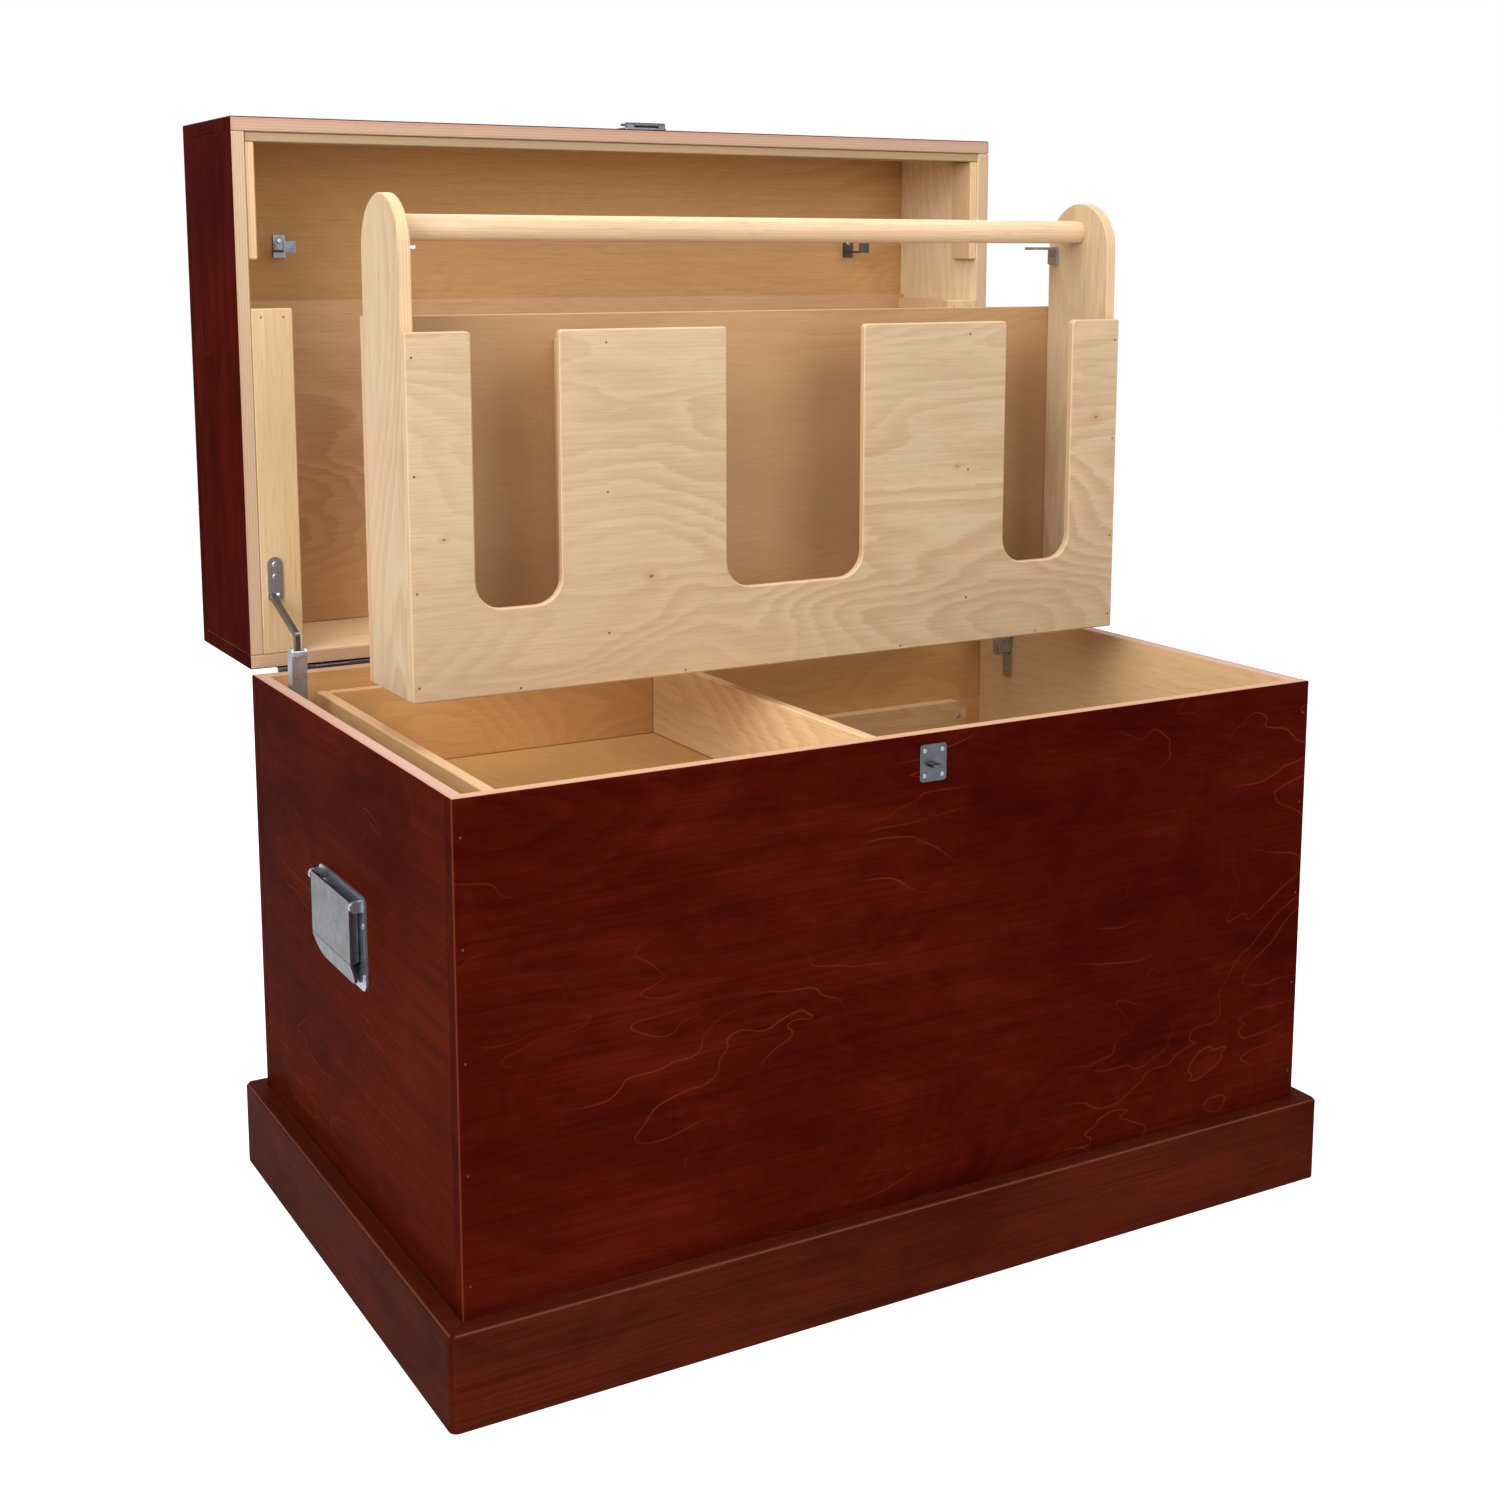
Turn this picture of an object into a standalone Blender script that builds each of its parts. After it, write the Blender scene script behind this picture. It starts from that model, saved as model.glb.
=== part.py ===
"""Wooden tack trunk of stained plywood, lid open, with a sliding tray and a lift-out grooming tote.

Metres, +Z up, front towards -Y. Places are worked out from the middle of the box, and at the end
the root empty moves everything so that the origin lies on the floor under the middle of the whole.
"""

from math import atan2, cos, degrees, pi, radians, sin

import bmesh
import bpy
from mathutils import Matrix, Vector

# Clearances
SEAT = 0.0003          # gap between pieces that touch
TURN = 0.0004          # gap round a pin
SLIDE = 0.0020         # gap beside a piece that slides
EASE = 0.0010          # eased edge of a board
SIDES = 20             # sides of a small round piece

# Trunk box
WIDTH = 0.960
DEPTH = 0.580
RIM_HEIGHT = 0.550
WALL = 0.015
WALL_FOOT = 0.030      # lower edge of the walls above the floor
BOTTOM_BOARD = 0.012
BOTTOM_HEIGHT = 0.062
GROOVE = 0.005

# Plinth
PLINTH_HEIGHT = 0.090
PLINTH_BOARD = 0.019
PLINTH_CORNER = 0.007
PLINTH_EASE = 0.003

# Lid
LID_DEPTH = 0.190
LID_GAP = 0.0015       # gap between the two rims when shut
LINER_BOARD = 0.009
LINER_HEIGHT = 0.388   # from the hinge side of the lid
STAY_BOARD_STEP = 0.005
STAY_BOARD_WIDTH = 0.044
CLEAT = 0.010
CLEAT_DEPTH = 0.040
CLEAT_STEP = 0.003     # how far the cleats lie behind the rim
SIDE_CLEAT_GAP = 0.051 # between a stay board and the cleat above it

# Continuous hinge
HINGE_END = 0.030      # from the hinge to the side of the trunk
HINGE_LEAF = 0.030
HINGE_SHEET = 0.0012
HINGE_PIN = 0.0018     # radius
HINGE_KNUCKLES = 23
KNUCKLE_GAP = 0.0006

# Sliding tray and its runners
TRAY_WIDTH = 0.412
TRAY_LEFT_GAP = 0.050  # from the left wall to the tray
TRAY_BELOW_RIM = 0.022
TRAY_DEPTH = 0.090
TRAY_WALL = 0.012
TRAY_BOTTOM = 0.009
RUNNER = 0.018
RUNNER_HEIGHT = 0.038
RUNNER_STOP = 0.033    # from the runner's end to the right wall
RUNNER_ROUND = 0.014

# Lid stays: a parallel linkage on each side
STAY_PIVOT_FORWARD = 0.080
STAY_PIVOT_DROP = 0.049
STAY_ARM_RISE = 0.082
STAY_ARM_FORWARD = 0.006
STAY_SHEET = 0.002
STAY_CHANNEL = 0.016
STAY_ARM_HALF = 0.008
STAY_LINK = 0.005
STAY_LINK_HALF = 0.0035
STAY_KNEE = 0.020
STAY_PIN = 0.0022
STAY_BODY_LENGTH = 0.072
STAY_PLATE_WIDTH = 0.016
STAY_PLATE_LENGTH = 0.046
STAY_EAR = 0.003

# Hasp and keeper
HASP_WIDTH = 0.030
HASP_PLATE_WIDTH = 0.052
HASP_PLATE_DEPTH = 0.026
HASP_LENGTH = 0.046
HASP_SHEET = 0.0018
HASP_BARREL = 0.003
HASP_FROM_RIM = 0.006
KEEPER_WIDTH = 0.030
KEEPER_HEIGHT = 0.036
KEEPER_BELOW_RIM = 0.010
STAPLE_WIDTH = 0.010
STAPLE_SHEET = 0.003
STAPLE_REACH = 0.011
STAPLE_BELOW_RIM = 0.030
SLOT_PLAY = 0.003

# Chest handles on the side walls
HANDLE_WIDTH = 0.136
HANDLE_HEIGHT = 0.092
HANDLE_BELOW_RIM = 0.147
HANDLE_SHEET = 0.0025
HANDLE_CORNER = 0.010
HANDLE_STANDOFF = 0.0095
HANDLE_EAR = 0.006
HANDLE_EAR_HALF = 0.0052
HANDLE_PIVOT_DROP = 0.009
HANDLE_PIN = 0.0016
GRIP_WIDTH = 0.114
GRIP_FACE = 0.0042      # from the pin to the grip's outer face
GRIP_RISE = 0.005
GRIP_DROP = 0.080
GRIP_LIP = 0.022
GRIP_BEND = 0.007      # how far the lip's edge is bent in
GRIP_GROOVE = 0.0010   # depth of the pressed line above the lip
GRIP_CORNER = 0.016
GRIP_CHEEK = 0.004     # how far the cheeks reach behind the pin

# Grooming tote
TOTE_PLAY = 0.002      # beside the tote, between the stay boards
TOTE_HEIGHT = 0.348
TOTE_BACK_HEIGHT = 0.360
TOTE_END_HEIGHT = 0.476
TOTE_END_DEPTH = 0.105
TOTE_END_BOARD = 0.012
TOTE_BOARD = 0.009
TOTE_ABOVE_RIM = 0.0245
TOTE_FRONT = -0.040    # its front face, from the trunk's middle
POCKET_BOTTOM = 0.084
SIDE_POCKET_WIDTH = 0.090
SIDE_POCKET_END = 0.110 # from a side pocket's middle to the tote's end
MIDDLE_POCKET_WIDTH = 0.163
POCKET_CORNER = 0.027
TOTE_DIVIDER_END = 0.204
TAB_CORNER = 0.004
TAB_EASE = 0.0015
TOTE_DIVIDER_HEIGHT = 0.335
DOWEL = 0.0125         # radius
DOWEL_HEIGHT = 0.444
DOWEL_SOCKET = 0.007

# Hooks in the lid and catches on the tote
HOOK_FROM_END = 0.026  # from the hook's middle to the tote's end board
HOOK_WIDTH = 0.014
HOOK_SHEET = 0.0025
HOOK_REACH = 0.042
HOOK_TIP = 0.010
HOOK_PLATE = 0.017
CATCH_ABOVE_LINER = 0.058
CATCH_DEPTH = 0.016
CATCH_FROM_BACK = 0.002 # from the catch to the back edge of the tote's end
CATCH_PLATE = 0.018
CATCH_REACH = 0.036
CATCH_SHEET = 0.003

# Derived places
HALF_WIDTH = WIDTH / 2
HALF_DEPTH = DEPTH / 2
INNER_X = HALF_WIDTH - WALL
INNER_Y = HALF_DEPTH - WALL
HINGE_RADIUS = HINGE_PIN + TURN + HINGE_SHEET
HINGE_LENGTH = WIDTH - 2 * HINGE_END
HINGE_Y = HALF_DEPTH + SEAT + HINGE_RADIUS
HINGE_Z = RIM_HEIGHT + LID_GAP / 2
LID_RIM_Y = HINGE_Y + LID_GAP / 2
LID_FOOT_Z = HINGE_Z + SEAT + HINGE_RADIUS
LID_HEAD_Z = LID_FOOT_Z + DEPTH
LID_BACK_Y = LID_RIM_Y + LID_DEPTH
LID_PANEL_Y = LID_BACK_Y - WALL
LID_FLOOR_Z = LID_FOOT_Z + WALL
TRAY_TOP_Z = RIM_HEIGHT - TRAY_BELOW_RIM
TRAY_FLOOR_Z = TRAY_TOP_Z - TRAY_DEPTH
TRAY_FOOT_Z = TRAY_FLOOR_Z - TRAY_BOTTOM
TRAY_LEFT_X = TRAY_LEFT_GAP - INNER_X
TRAY_HALF_DEPTH = INNER_Y - SLIDE
RUNNER_TOP_Z = TRAY_FOOT_Z - SEAT
TOTE_LENGTH = 2 * (INNER_X - STAY_BOARD_WIDTH - TOTE_PLAY)
TOTE_Z = RIM_HEIGHT + TOTE_ABOVE_RIM
TOTE_END_FRONT = TOTE_FRONT + TOTE_BOARD + SEAT
TOTE_END_BACK = TOTE_END_FRONT + TOTE_END_DEPTH
TOTE_INNER_X = TOTE_LENGTH / 2 - TOTE_END_BOARD
SIDE_POCKET_MIDDLE = TOTE_LENGTH / 2 - SIDE_POCKET_END
TOTE_DIVIDER_MIDDLE = TOTE_LENGTH / 2 - TOTE_DIVIDER_END
HOOK_MIDDLE = TOTE_INNER_X - HOOK_FROM_END
CATCH_Z = LID_FOOT_Z + LINER_HEIGHT + CATCH_ABOVE_LINER
DOWEL_Y = (TOTE_END_FRONT + TOTE_END_BACK) / 2
PLINTH_FRONT_Y = -HALF_DEPTH - 2 * SEAT - PLINTH_BOARD
MIDDLE_SHIFT = -(PLINTH_FRONT_Y + LID_BACK_Y) / 2

STAIN = ("mahogany_stain", (0.085, 0.012, 0.008), 0.35, 0.0)
BIRCH = ("birch_ply", (0.62, 0.44, 0.26), 0.55, 0.0)
STEEL = ("bright_steel", (0.62, 0.63, 0.65), 0.25, 1.0)


def clear_scene():
    for thing in list(bpy.data.objects):
        bpy.data.objects.remove(thing, do_unlink=True)


def finish_material(name, finish):
    label, colour, roughness, metallic = finish
    material = bpy.data.materials.new(name + "_" + label)
    material.use_nodes = True
    shader = material.node_tree.nodes["Principled BSDF"]
    shader.inputs["Base Color"].default_value = (*colour, 1.0)
    shader.inputs["Roughness"].default_value = roughness
    shader.inputs["Metallic"].default_value = metallic
    return material


def axis_empty(name, place, parent=None):
    empty = bpy.data.objects.new(name, None)
    empty.parent = parent
    origin = world_place(parent)
    empty.location = Vector(place) - origin
    bpy.context.collection.objects.link(empty)
    return empty


def world_place(parent):
    place = Vector((0, 0, 0))
    while parent is not None:
        place += parent.location
        parent = parent.parent
    return place


def add_mesh(name, bm, middle, parent, finish):
    """Stores a mesh that was modelled in world places, with its origin at its middle."""
    middle = Vector(middle)
    bmesh.ops.translate(bm, verts=bm.verts, vec=-middle)
    bmesh.ops.recalc_face_normals(bm, faces=bm.faces)
    mesh = bpy.data.meshes.new(name)
    bm.to_mesh(mesh)
    bm.free()
    thing = bpy.data.objects.new(name, mesh)
    thing.parent = parent
    thing.location = middle - world_place(parent)
    bpy.context.collection.objects.link(thing)
    if finish is None:
        thing.hide_render = True
        thing.display_type = "WIRE"
    else:
        mesh.materials.append(finish_material(name, finish))
    return thing


def ease_edges(thing, width=EASE):
    bevel = thing.modifiers.new("eased_edges", "BEVEL")
    bevel.width = width
    bevel.segments = 1
    bevel.limit_method = "ANGLE"
    bevel.angle_limit = radians(60)
    return thing


def board(name, low, high, parent, finish, ease=True):
    """A straight board between two corners."""
    low = Vector(low)
    high = Vector(high)
    bm = bmesh.new()
    bmesh.ops.create_cube(bm, size=1.0)
    bmesh.ops.scale(bm, verts=bm.verts, vec=high - low)
    bmesh.ops.translate(bm, verts=bm.verts, vec=(low + high) / 2)
    thing = add_mesh(name, bm, (low + high) / 2, parent, finish)
    return ease_edges(thing) if ease else thing


def extrude_outline(bm, outline, axis, start, end):
    """Fills an outline in the two other axes, in their own order, and draws it out along one axis."""
    order = {"x": (1, 2, 0), "y": (0, 2, 1), "z": (0, 1, 2)}[axis]
    corners = []
    for first, second in outline:
        place = [0.0, 0.0, 0.0]
        place[order[0]] = first
        place[order[1]] = second
        place[order[2]] = start
        corners.append(bm.verts.new(place))
    face = bm.faces.new(corners)
    drawn = bmesh.ops.extrude_face_region(bm, geom=[face])
    moved = [v for v in drawn["geom"] if isinstance(v, bmesh.types.BMVert)]
    step = [0.0, 0.0, 0.0]
    step[order[2]] = end - start
    bmesh.ops.translate(bm, verts=moved, vec=step)


def profile(name, outline, axis, start, end, parent, finish):
    bm = bmesh.new()
    extrude_outline(bm, outline, axis, start, end)
    middle = sum((v.co for v in bm.verts), Vector()) / len(bm.verts)
    return add_mesh(name, bm, middle, parent, finish)


def arc(middle, radius, start, end, steps):
    """Points along an arc, angles in degrees."""
    turns = [radians(start + (end - start) * i / steps) for i in range(steps + 1)]
    return [(middle[0] + radius * cos(t), middle[1] + radius * sin(t)) for t in turns]


def rounded_rectangle(low, high, radius, steps=5):
    x0, y0 = low[0] + radius, low[1] + radius
    x1, y1 = high[0] - radius, high[1] - radius
    points = arc((x1, y0), radius, -90, 0, steps) + arc((x1, y1), radius, 0, 90, steps)
    return points + arc((x0, y1), radius, 90, 180, steps) + arc((x0, y0), radius, 180, 270, steps)


def circle(middle, radius, sides=SIDES):
    return arc(middle, radius, 0, 360 - 360 / sides, sides - 1)


def round_hole(middle, radius, sides=SIDES):
    """A many-sided hole that clears a round pin of this radius."""
    return circle(middle, radius / cos(pi / sides), sides)


def join_shape(thing, cutter, operation):
    change = thing.modifiers.new(operation.lower(), "BOOLEAN")
    change.operation = operation
    change.object = cutter
    return thing


def cut_profile(thing, outline, axis, start, end):
    cutter = profile(thing.name + "_cutter", outline, axis, start, end, thing.parent, None)
    return join_shape(thing, cutter, "DIFFERENCE")


def add_profile(thing, outline, axis, start, end):
    extra = profile(thing.name + "_extra", outline, axis, start, end, thing.parent, None)
    return join_shape(thing, extra, "UNION")


def grooved(wall, low, high):
    """Cuts the groove that holds the bottom board."""
    cutter = board(wall.name + "_groove", low, high, wall.parent, None, ease=False)
    return join_shape(wall, cutter, "DIFFERENCE")


def build_box(trunk):
    foot, rim = WALL_FOOT, RIM_HEIGHT
    low, high = BOTTOM_HEIGHT - SEAT, BOTTOM_HEIGHT + BOTTOM_BOARD + SEAT
    reach_x, reach_y = INNER_X + GROOVE, INNER_Y + GROOVE
    for name, side in (("front_panel", -1), ("back_panel", 1)):
        faces = sorted((side * INNER_Y, side * HALF_DEPTH))
        wall = board(name, (-HALF_WIDTH, faces[0], foot), (HALF_WIDTH, faces[1], rim), trunk, STAIN)
        cuts = sorted((side * (INNER_Y - GROOVE), side * reach_y))
        grooved(wall, (-reach_x, cuts[0], low), (reach_x, cuts[1], high))
    for name, side in (("left_panel", -1), ("right_panel", 1)):
        faces = sorted((side * INNER_X, side * HALF_WIDTH))
        ends = INNER_Y - SEAT
        wall = board(name, (faces[0], -ends, foot), (faces[1], ends, rim), trunk, STAIN)
        cuts = sorted((side * (INNER_X - GROOVE), side * reach_x))
        grooved(wall, (cuts[0], -reach_y, low), (cuts[1], reach_y, high))
    corner = Vector((reach_x - SEAT, reach_y - SEAT, 0))
    foot_z = Vector((0, 0, BOTTOM_HEIGHT))
    head_z = Vector((0, 0, BOTTOM_HEIGHT + BOTTOM_BOARD))
    board("bottom_panel", -corner + foot_z, corner + head_z, trunk, BIRCH, ease=False)


def mitred_outline(length, depth, inner_length, inner_depth, r):
    """Plan of one plinth board along +X at its front: mitred ends with half of each round corner."""
    right = arc((length - r, -depth + r), r, 315, 270, 3)
    left = [(-x, y) for x, y in reversed(right)]
    return [(-inner_length, -inner_depth), (inner_length, -inner_depth)] + right + left


def plinth_plans(step):
    """Plans of the four boards, with the outer face drawn in by a step."""
    inner = (HALF_WIDTH + SEAT, HALF_DEPTH + SEAT)
    outer = (inner[0] + PLINTH_BOARD - step, inner[1] + PLINTH_BOARD - step)
    r = PLINTH_CORNER - step
    long_board = mitred_outline(outer[0], outer[1], inner[0], inner[1], r)
    short_board = [(y, x) for x, y in mitred_outline(outer[1], outer[0], inner[1], inner[0], r)]
    return {
        "plinth_front": [(x, y - SEAT) for x, y in long_board],
        "plinth_back": [(x, SEAT - y) for x, y in long_board],
        "plinth_left": [(x - SEAT, y) for x, y in short_board],
        "plinth_right": [(SEAT - x, y) for x, y in short_board],
    }


def build_plinth(trunk):
    """Mitred boards round the foot of the box, with an eased upper edge."""
    full, eased = plinth_plans(0.0), plinth_plans(PLINTH_EASE)
    shoulder = PLINTH_HEIGHT - PLINTH_EASE
    for name in full:
        bm = bmesh.new()
        rings = []
        for plan, height in ((full[name], 0.0), (full[name], shoulder), (eased[name], PLINTH_HEIGHT)):
            rings.append([bm.verts.new((x, y, height)) for x, y in plan])
        bm.faces.new(rings[0])
        bm.faces.new(rings[-1])
        count = len(rings[0])
        for lower, upper in zip(rings, rings[1:]):
            for i in range(count):
                j = (i + 1) % count
                bm.faces.new((lower[i], lower[j], upper[j], upper[i]))
        middle = sum((v.co for v in bm.verts), Vector()) / len(bm.verts)
        add_mesh(name, bm, middle, trunk, STAIN)


def build_runners(trunk):
    """Rails on the front and back walls, round at their free end, that carry the tray."""
    left, right = -INNER_X + SEAT, INNER_X - RUNNER_STOP
    top, foot = RUNNER_TOP_Z, RUNNER_TOP_Z - RUNNER_HEIGHT
    r = RUNNER_ROUND
    outline = [(left, foot)] + arc((right - r, foot + r), r, -90, 0, 5)
    outline += arc((right - r, top - r), r, 0, 90, 5) + [(left, top)]
    wall = INNER_Y - SEAT
    profile("tray_runner_front", outline, "y", -wall, -wall + RUNNER, trunk, BIRCH)
    profile("tray_runner_back", outline, "y", wall - RUNNER, wall, trunk, BIRCH)


def build_tray(tray):
    left, right = TRAY_LEFT_X, TRAY_LEFT_X + TRAY_WIDTH
    depth = TRAY_HALF_DEPTH
    floor, top = TRAY_FLOOR_Z, TRAY_TOP_Z
    board("tray_bottom", (left, -depth, TRAY_FOOT_Z), (right, depth, floor - SEAT), tray, BIRCH)
    board("tray_left", (left, -depth, floor), (left + TRAY_WALL, depth, top), tray, BIRCH)
    board("tray_right", (right - TRAY_WALL, -depth, floor), (right, depth, top), tray, BIRCH)
    inner_left, inner_right = left + TRAY_WALL + SEAT, right - TRAY_WALL - SEAT
    board("tray_front", (inner_left, -depth, floor), (inner_right, TRAY_WALL - depth, top), tray, BIRCH)
    board("tray_back", (inner_left, depth - TRAY_WALL, floor), (inner_right, depth, top), tray, BIRCH)


def build_lid(lid):
    rim, panel = LID_RIM_Y, LID_PANEL_Y
    foot, head = LID_FOOT_Z, LID_HEAD_Z
    wide = HALF_WIDTH
    board("lid_top_panel", (-wide, panel, foot), (wide, LID_BACK_Y, head), lid, STAIN)
    rail_back = panel - SEAT
    board("lid_back_rail", (-wide, rim, foot), (wide, rail_back, foot + WALL), lid, STAIN)
    board("lid_front_rail", (-wide, rim, head - WALL), (wide, rail_back, head), lid, STAIN)
    low, high = foot + WALL + SEAT, head - WALL - SEAT
    for name, side in (("lid_left_side", -1), ("lid_right_side", 1)):
        faces = sorted((side * INNER_X, side * wide))
        board(name, (faces[0], rim, low), (faces[1], rail_back, high), lid, STAIN)


def build_lid_lining(lid):
    """Boards inside the lid: back liner, side liners, stay boards at the rim, and the cleats."""
    low = LID_FLOOR_Z + SEAT
    back = LID_PANEL_Y - SEAT
    inner = INNER_X - SEAT
    liner_front = back - LINER_BOARD
    board("lid_liner", (-inner, liner_front, low), (inner, back, LID_FOOT_Z + LINER_HEIGHT), lid, BIRCH)
    board_head = LID_FOOT_Z + LINER_HEIGHT - STAY_BOARD_STEP
    for name, side in (("left", -1), ("right", 1)):
        wide = sorted((side * inner, side * (inner - STAY_BOARD_WIDTH)))
        stay_back = LID_RIM_Y + WALL
        stay_low, stay_high = (wide[0], LID_RIM_Y, low), (wide[1], stay_back, board_head)
        board("lid_stay_board_" + name, stay_low, stay_high, lid, BIRCH)
        thin = sorted((side * inner, side * (inner - LINER_BOARD)))
        liner_low = (thin[0], stay_back + SEAT, low)
        board("lid_side_liner_" + name, liner_low, (thin[1], liner_front - SEAT, board_head), lid, BIRCH)
    front = LID_RIM_Y + CLEAT_STEP
    top = LID_HEAD_Z - WALL - SEAT
    under = top - CLEAT
    board("lid_cleat_top", (-inner, front, under), (inner, front + CLEAT_DEPTH, top), lid, BIRCH)
    for name, side in (("left", -1), ("right", 1)):
        wide = sorted((side * inner, side * (inner - CLEAT)))
        end = board_head + SIDE_CLEAT_GAP
        high = (wide[1], front + CLEAT_DEPTH, under - SEAT)
        board("lid_cleat_" + name, (wide[0], front, end), high, lid, BIRCH)


def leaf_outline(turn):
    """Rolled leaf round the hinge axis: a flat strip hanging from an open curl, turned about the pin."""
    outer, inner = HINGE_RADIUS, HINGE_RADIUS - HINGE_SHEET
    strip = [(-inner, -HINGE_LEAF), (-outer, -HINGE_LEAF)]
    curl = arc((0, 0), outer, 180, -115, 14) + arc((0, 0), inner, -115, 180, 14)
    quarter = Matrix.Rotation(radians(turn), 2)
    points = [quarter @ Vector(point) for point in strip + curl]
    return [(HINGE_Y + y, HINGE_Z + z) for y, z in points]


def build_hinge(trunk, lid):
    """Continuous hinge with rolled knuckles that interleave along one pin."""
    half = HINGE_LENGTH / 2
    pitch = HINGE_LENGTH / HINGE_KNUCKLES
    body_leaf = profile("hinge_leaf_trunk", leaf_outline(0), "x", -half, half, trunk, STEEL)
    lid_leaf = profile("hinge_leaf_lid", mirrored_leaf(), "x", -half, half, lid, STEEL)
    reach = HINGE_RADIUS + SEAT
    for leaf, first in ((body_leaf, 1), (lid_leaf, 0)):
        bm = bmesh.new()
        for knuckle in range(first, HINGE_KNUCKLES, 2):
            x0 = -half + knuckle * pitch - KNUCKLE_GAP / 2
            x1 = x0 + pitch + KNUCKLE_GAP
            low = (HINGE_Y - reach, HINGE_Z - reach)
            high = (HINGE_Y + reach, HINGE_Z + reach)
            block = [low, (high[0], low[1]), high, (low[0], high[1])]
            extrude_outline(bm, block, "x", x0, x1)
        cutter = add_mesh(leaf.name + "_cutter", bm, (0, HINGE_Y, HINGE_Z), leaf.parent, None)
        join_shape(leaf, cutter, "DIFFERENCE")
    pin = circle((HINGE_Y, HINGE_Z), HINGE_PIN, 12)
    profile("hinge_pin", pin, "x", -half, half, trunk, STEEL)


def mirrored_leaf():
    """The lid's leaf: with the lid open it runs back along the lid's lower face."""
    flipped = [(z - HINGE_Z, y - HINGE_Y) for y, z in leaf_outline(0)]
    return [(HINGE_Y - a, HINGE_Z - b) for a, b in flipped]


def capsule(start, end, half, steps=6):
    """Outline of a flat bar with round ends between two pivots, in the plane of the side walls."""
    start, end = Vector(start), Vector(end)
    run = end - start
    turn = degrees(atan2(run.y, run.x))
    return arc(end, half, turn - 90, turn + 90, steps) + arc(start, half, turn + 90, turn + 270, steps)


def lug(start, end, half, steps=6):
    """Outline of an ear that stands on a plate: flat at its start and round at its end."""
    start, end = Vector(start), Vector(end)
    run = end - start
    turn = degrees(atan2(run.y, run.x))
    side = Vector((-run.y, run.x)).normalized() * half
    return arc(end, half, turn - 90, turn + 90, steps) + [tuple(start + side), tuple(start - side)]


def stay_points():
    """Body pivot, knee pivot and lid pivot of the parallel linkage, as (y, z)."""
    body = Vector((HINGE_Y - STAY_PIVOT_FORWARD, HINGE_Z - STAY_PIVOT_DROP))
    step = Vector((-STAY_ARM_FORWARD, STAY_ARM_RISE))
    knee = body + step
    lid_pivot = Vector((HINGE_Y, HINGE_Z)) + step
    return body, knee, lid_pivot


def across(side, near, far):
    """Two places along X, measured from a side wall towards the middle, in rising order."""
    return sorted((side * (INNER_X - near), side * (INNER_X - far)))


def build_stay_body(name, side, trunk, body):
    sheet = STAY_SHEET
    foot = body.y - STAY_BODY_LENGTH / 2
    low, high = (body.x - STAY_ARM_HALF, foot), (body.x + STAY_ARM_HALF, foot + STAY_BODY_LENGTH)
    plate = rounded_rectangle(low, high, STAY_ARM_HALF / 2, 3)
    x0, x1 = across(side, SEAT, SEAT + sheet)
    piece = profile("stay_body_" + name, plate, "x", x0, x1, trunk, STEEL)
    pin_end = SEAT + sheet + TURN + STAY_CHANNEL + TURN
    x0, x1 = across(side, SEAT + sheet / 2, pin_end)
    add_profile(piece, circle(body, STAY_PIN, 12), "x", x0, x1)


def build_stay_arm(name, side, arm, body, knee):
    """A channel, open to the back, that turns on the body's pin and carries the knee pin."""
    near = SEAT + STAY_SHEET + TURN
    far = near + STAY_CHANNEL
    outline = capsule(body, knee, STAY_ARM_HALF)
    x0, x1 = across(side, near, far)
    piece = profile("stay_arm_" + name, outline, "x", x0, x1, arm, STEEL)
    back = STAY_ARM_HALF + SEAT
    web = STAY_ARM_HALF - STAY_SHEET
    low, high = body.y - 2 * back, knee.y + 2 * back
    lean = STAY_ARM_FORWARD / STAY_ARM_RISE
    trough = [(body.x - web - lean * (z - body.y), z) for z in (low, high)]
    trough += [(body.x + back - lean * (z - body.y), z) for z in (high, low)]
    x0, x1 = across(side, near + STAY_SHEET, far - STAY_SHEET)
    cut_profile(piece, trough, "x", x0, x1)
    x0, x1 = across(side, near - SEAT, far + SEAT)
    cut_profile(piece, round_hole(body, STAY_PIN + TURN), "x", x0, x1)
    x0, x1 = across(side, near + STAY_SHEET / 2, far - STAY_SHEET / 2)
    add_profile(piece, circle(knee, STAY_PIN, 12), "x", x0, x1)


def link_span():
    """Distances of the link's two faces from the side wall."""
    near = SEAT + STAY_SHEET + TURN + (STAY_CHANNEL - STAY_LINK) / 2
    return near, near + STAY_LINK


def build_stay_link(name, side, link, knee, lid_pivot):
    """A cranked bar from the knee to the lid plate."""
    bend = Vector((knee.x, knee.y + STAY_KNEE))
    near, far = link_span()
    x0, x1 = across(side, near, far)
    piece = profile("stay_link_" + name, capsule(bend, knee, STAY_ARM_HALF / 2), "x", x0, x1, link, STEEL)
    add_profile(piece, capsule(lid_pivot, bend, STAY_LINK_HALF), "x", x0, x1)
    h0, h1 = across(side, near - SEAT, far + SEAT)
    for pivot in (knee, lid_pivot):
        cut_profile(piece, round_hole(pivot, STAY_PIN + TURN, 12), "x", h0, h1)


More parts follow.
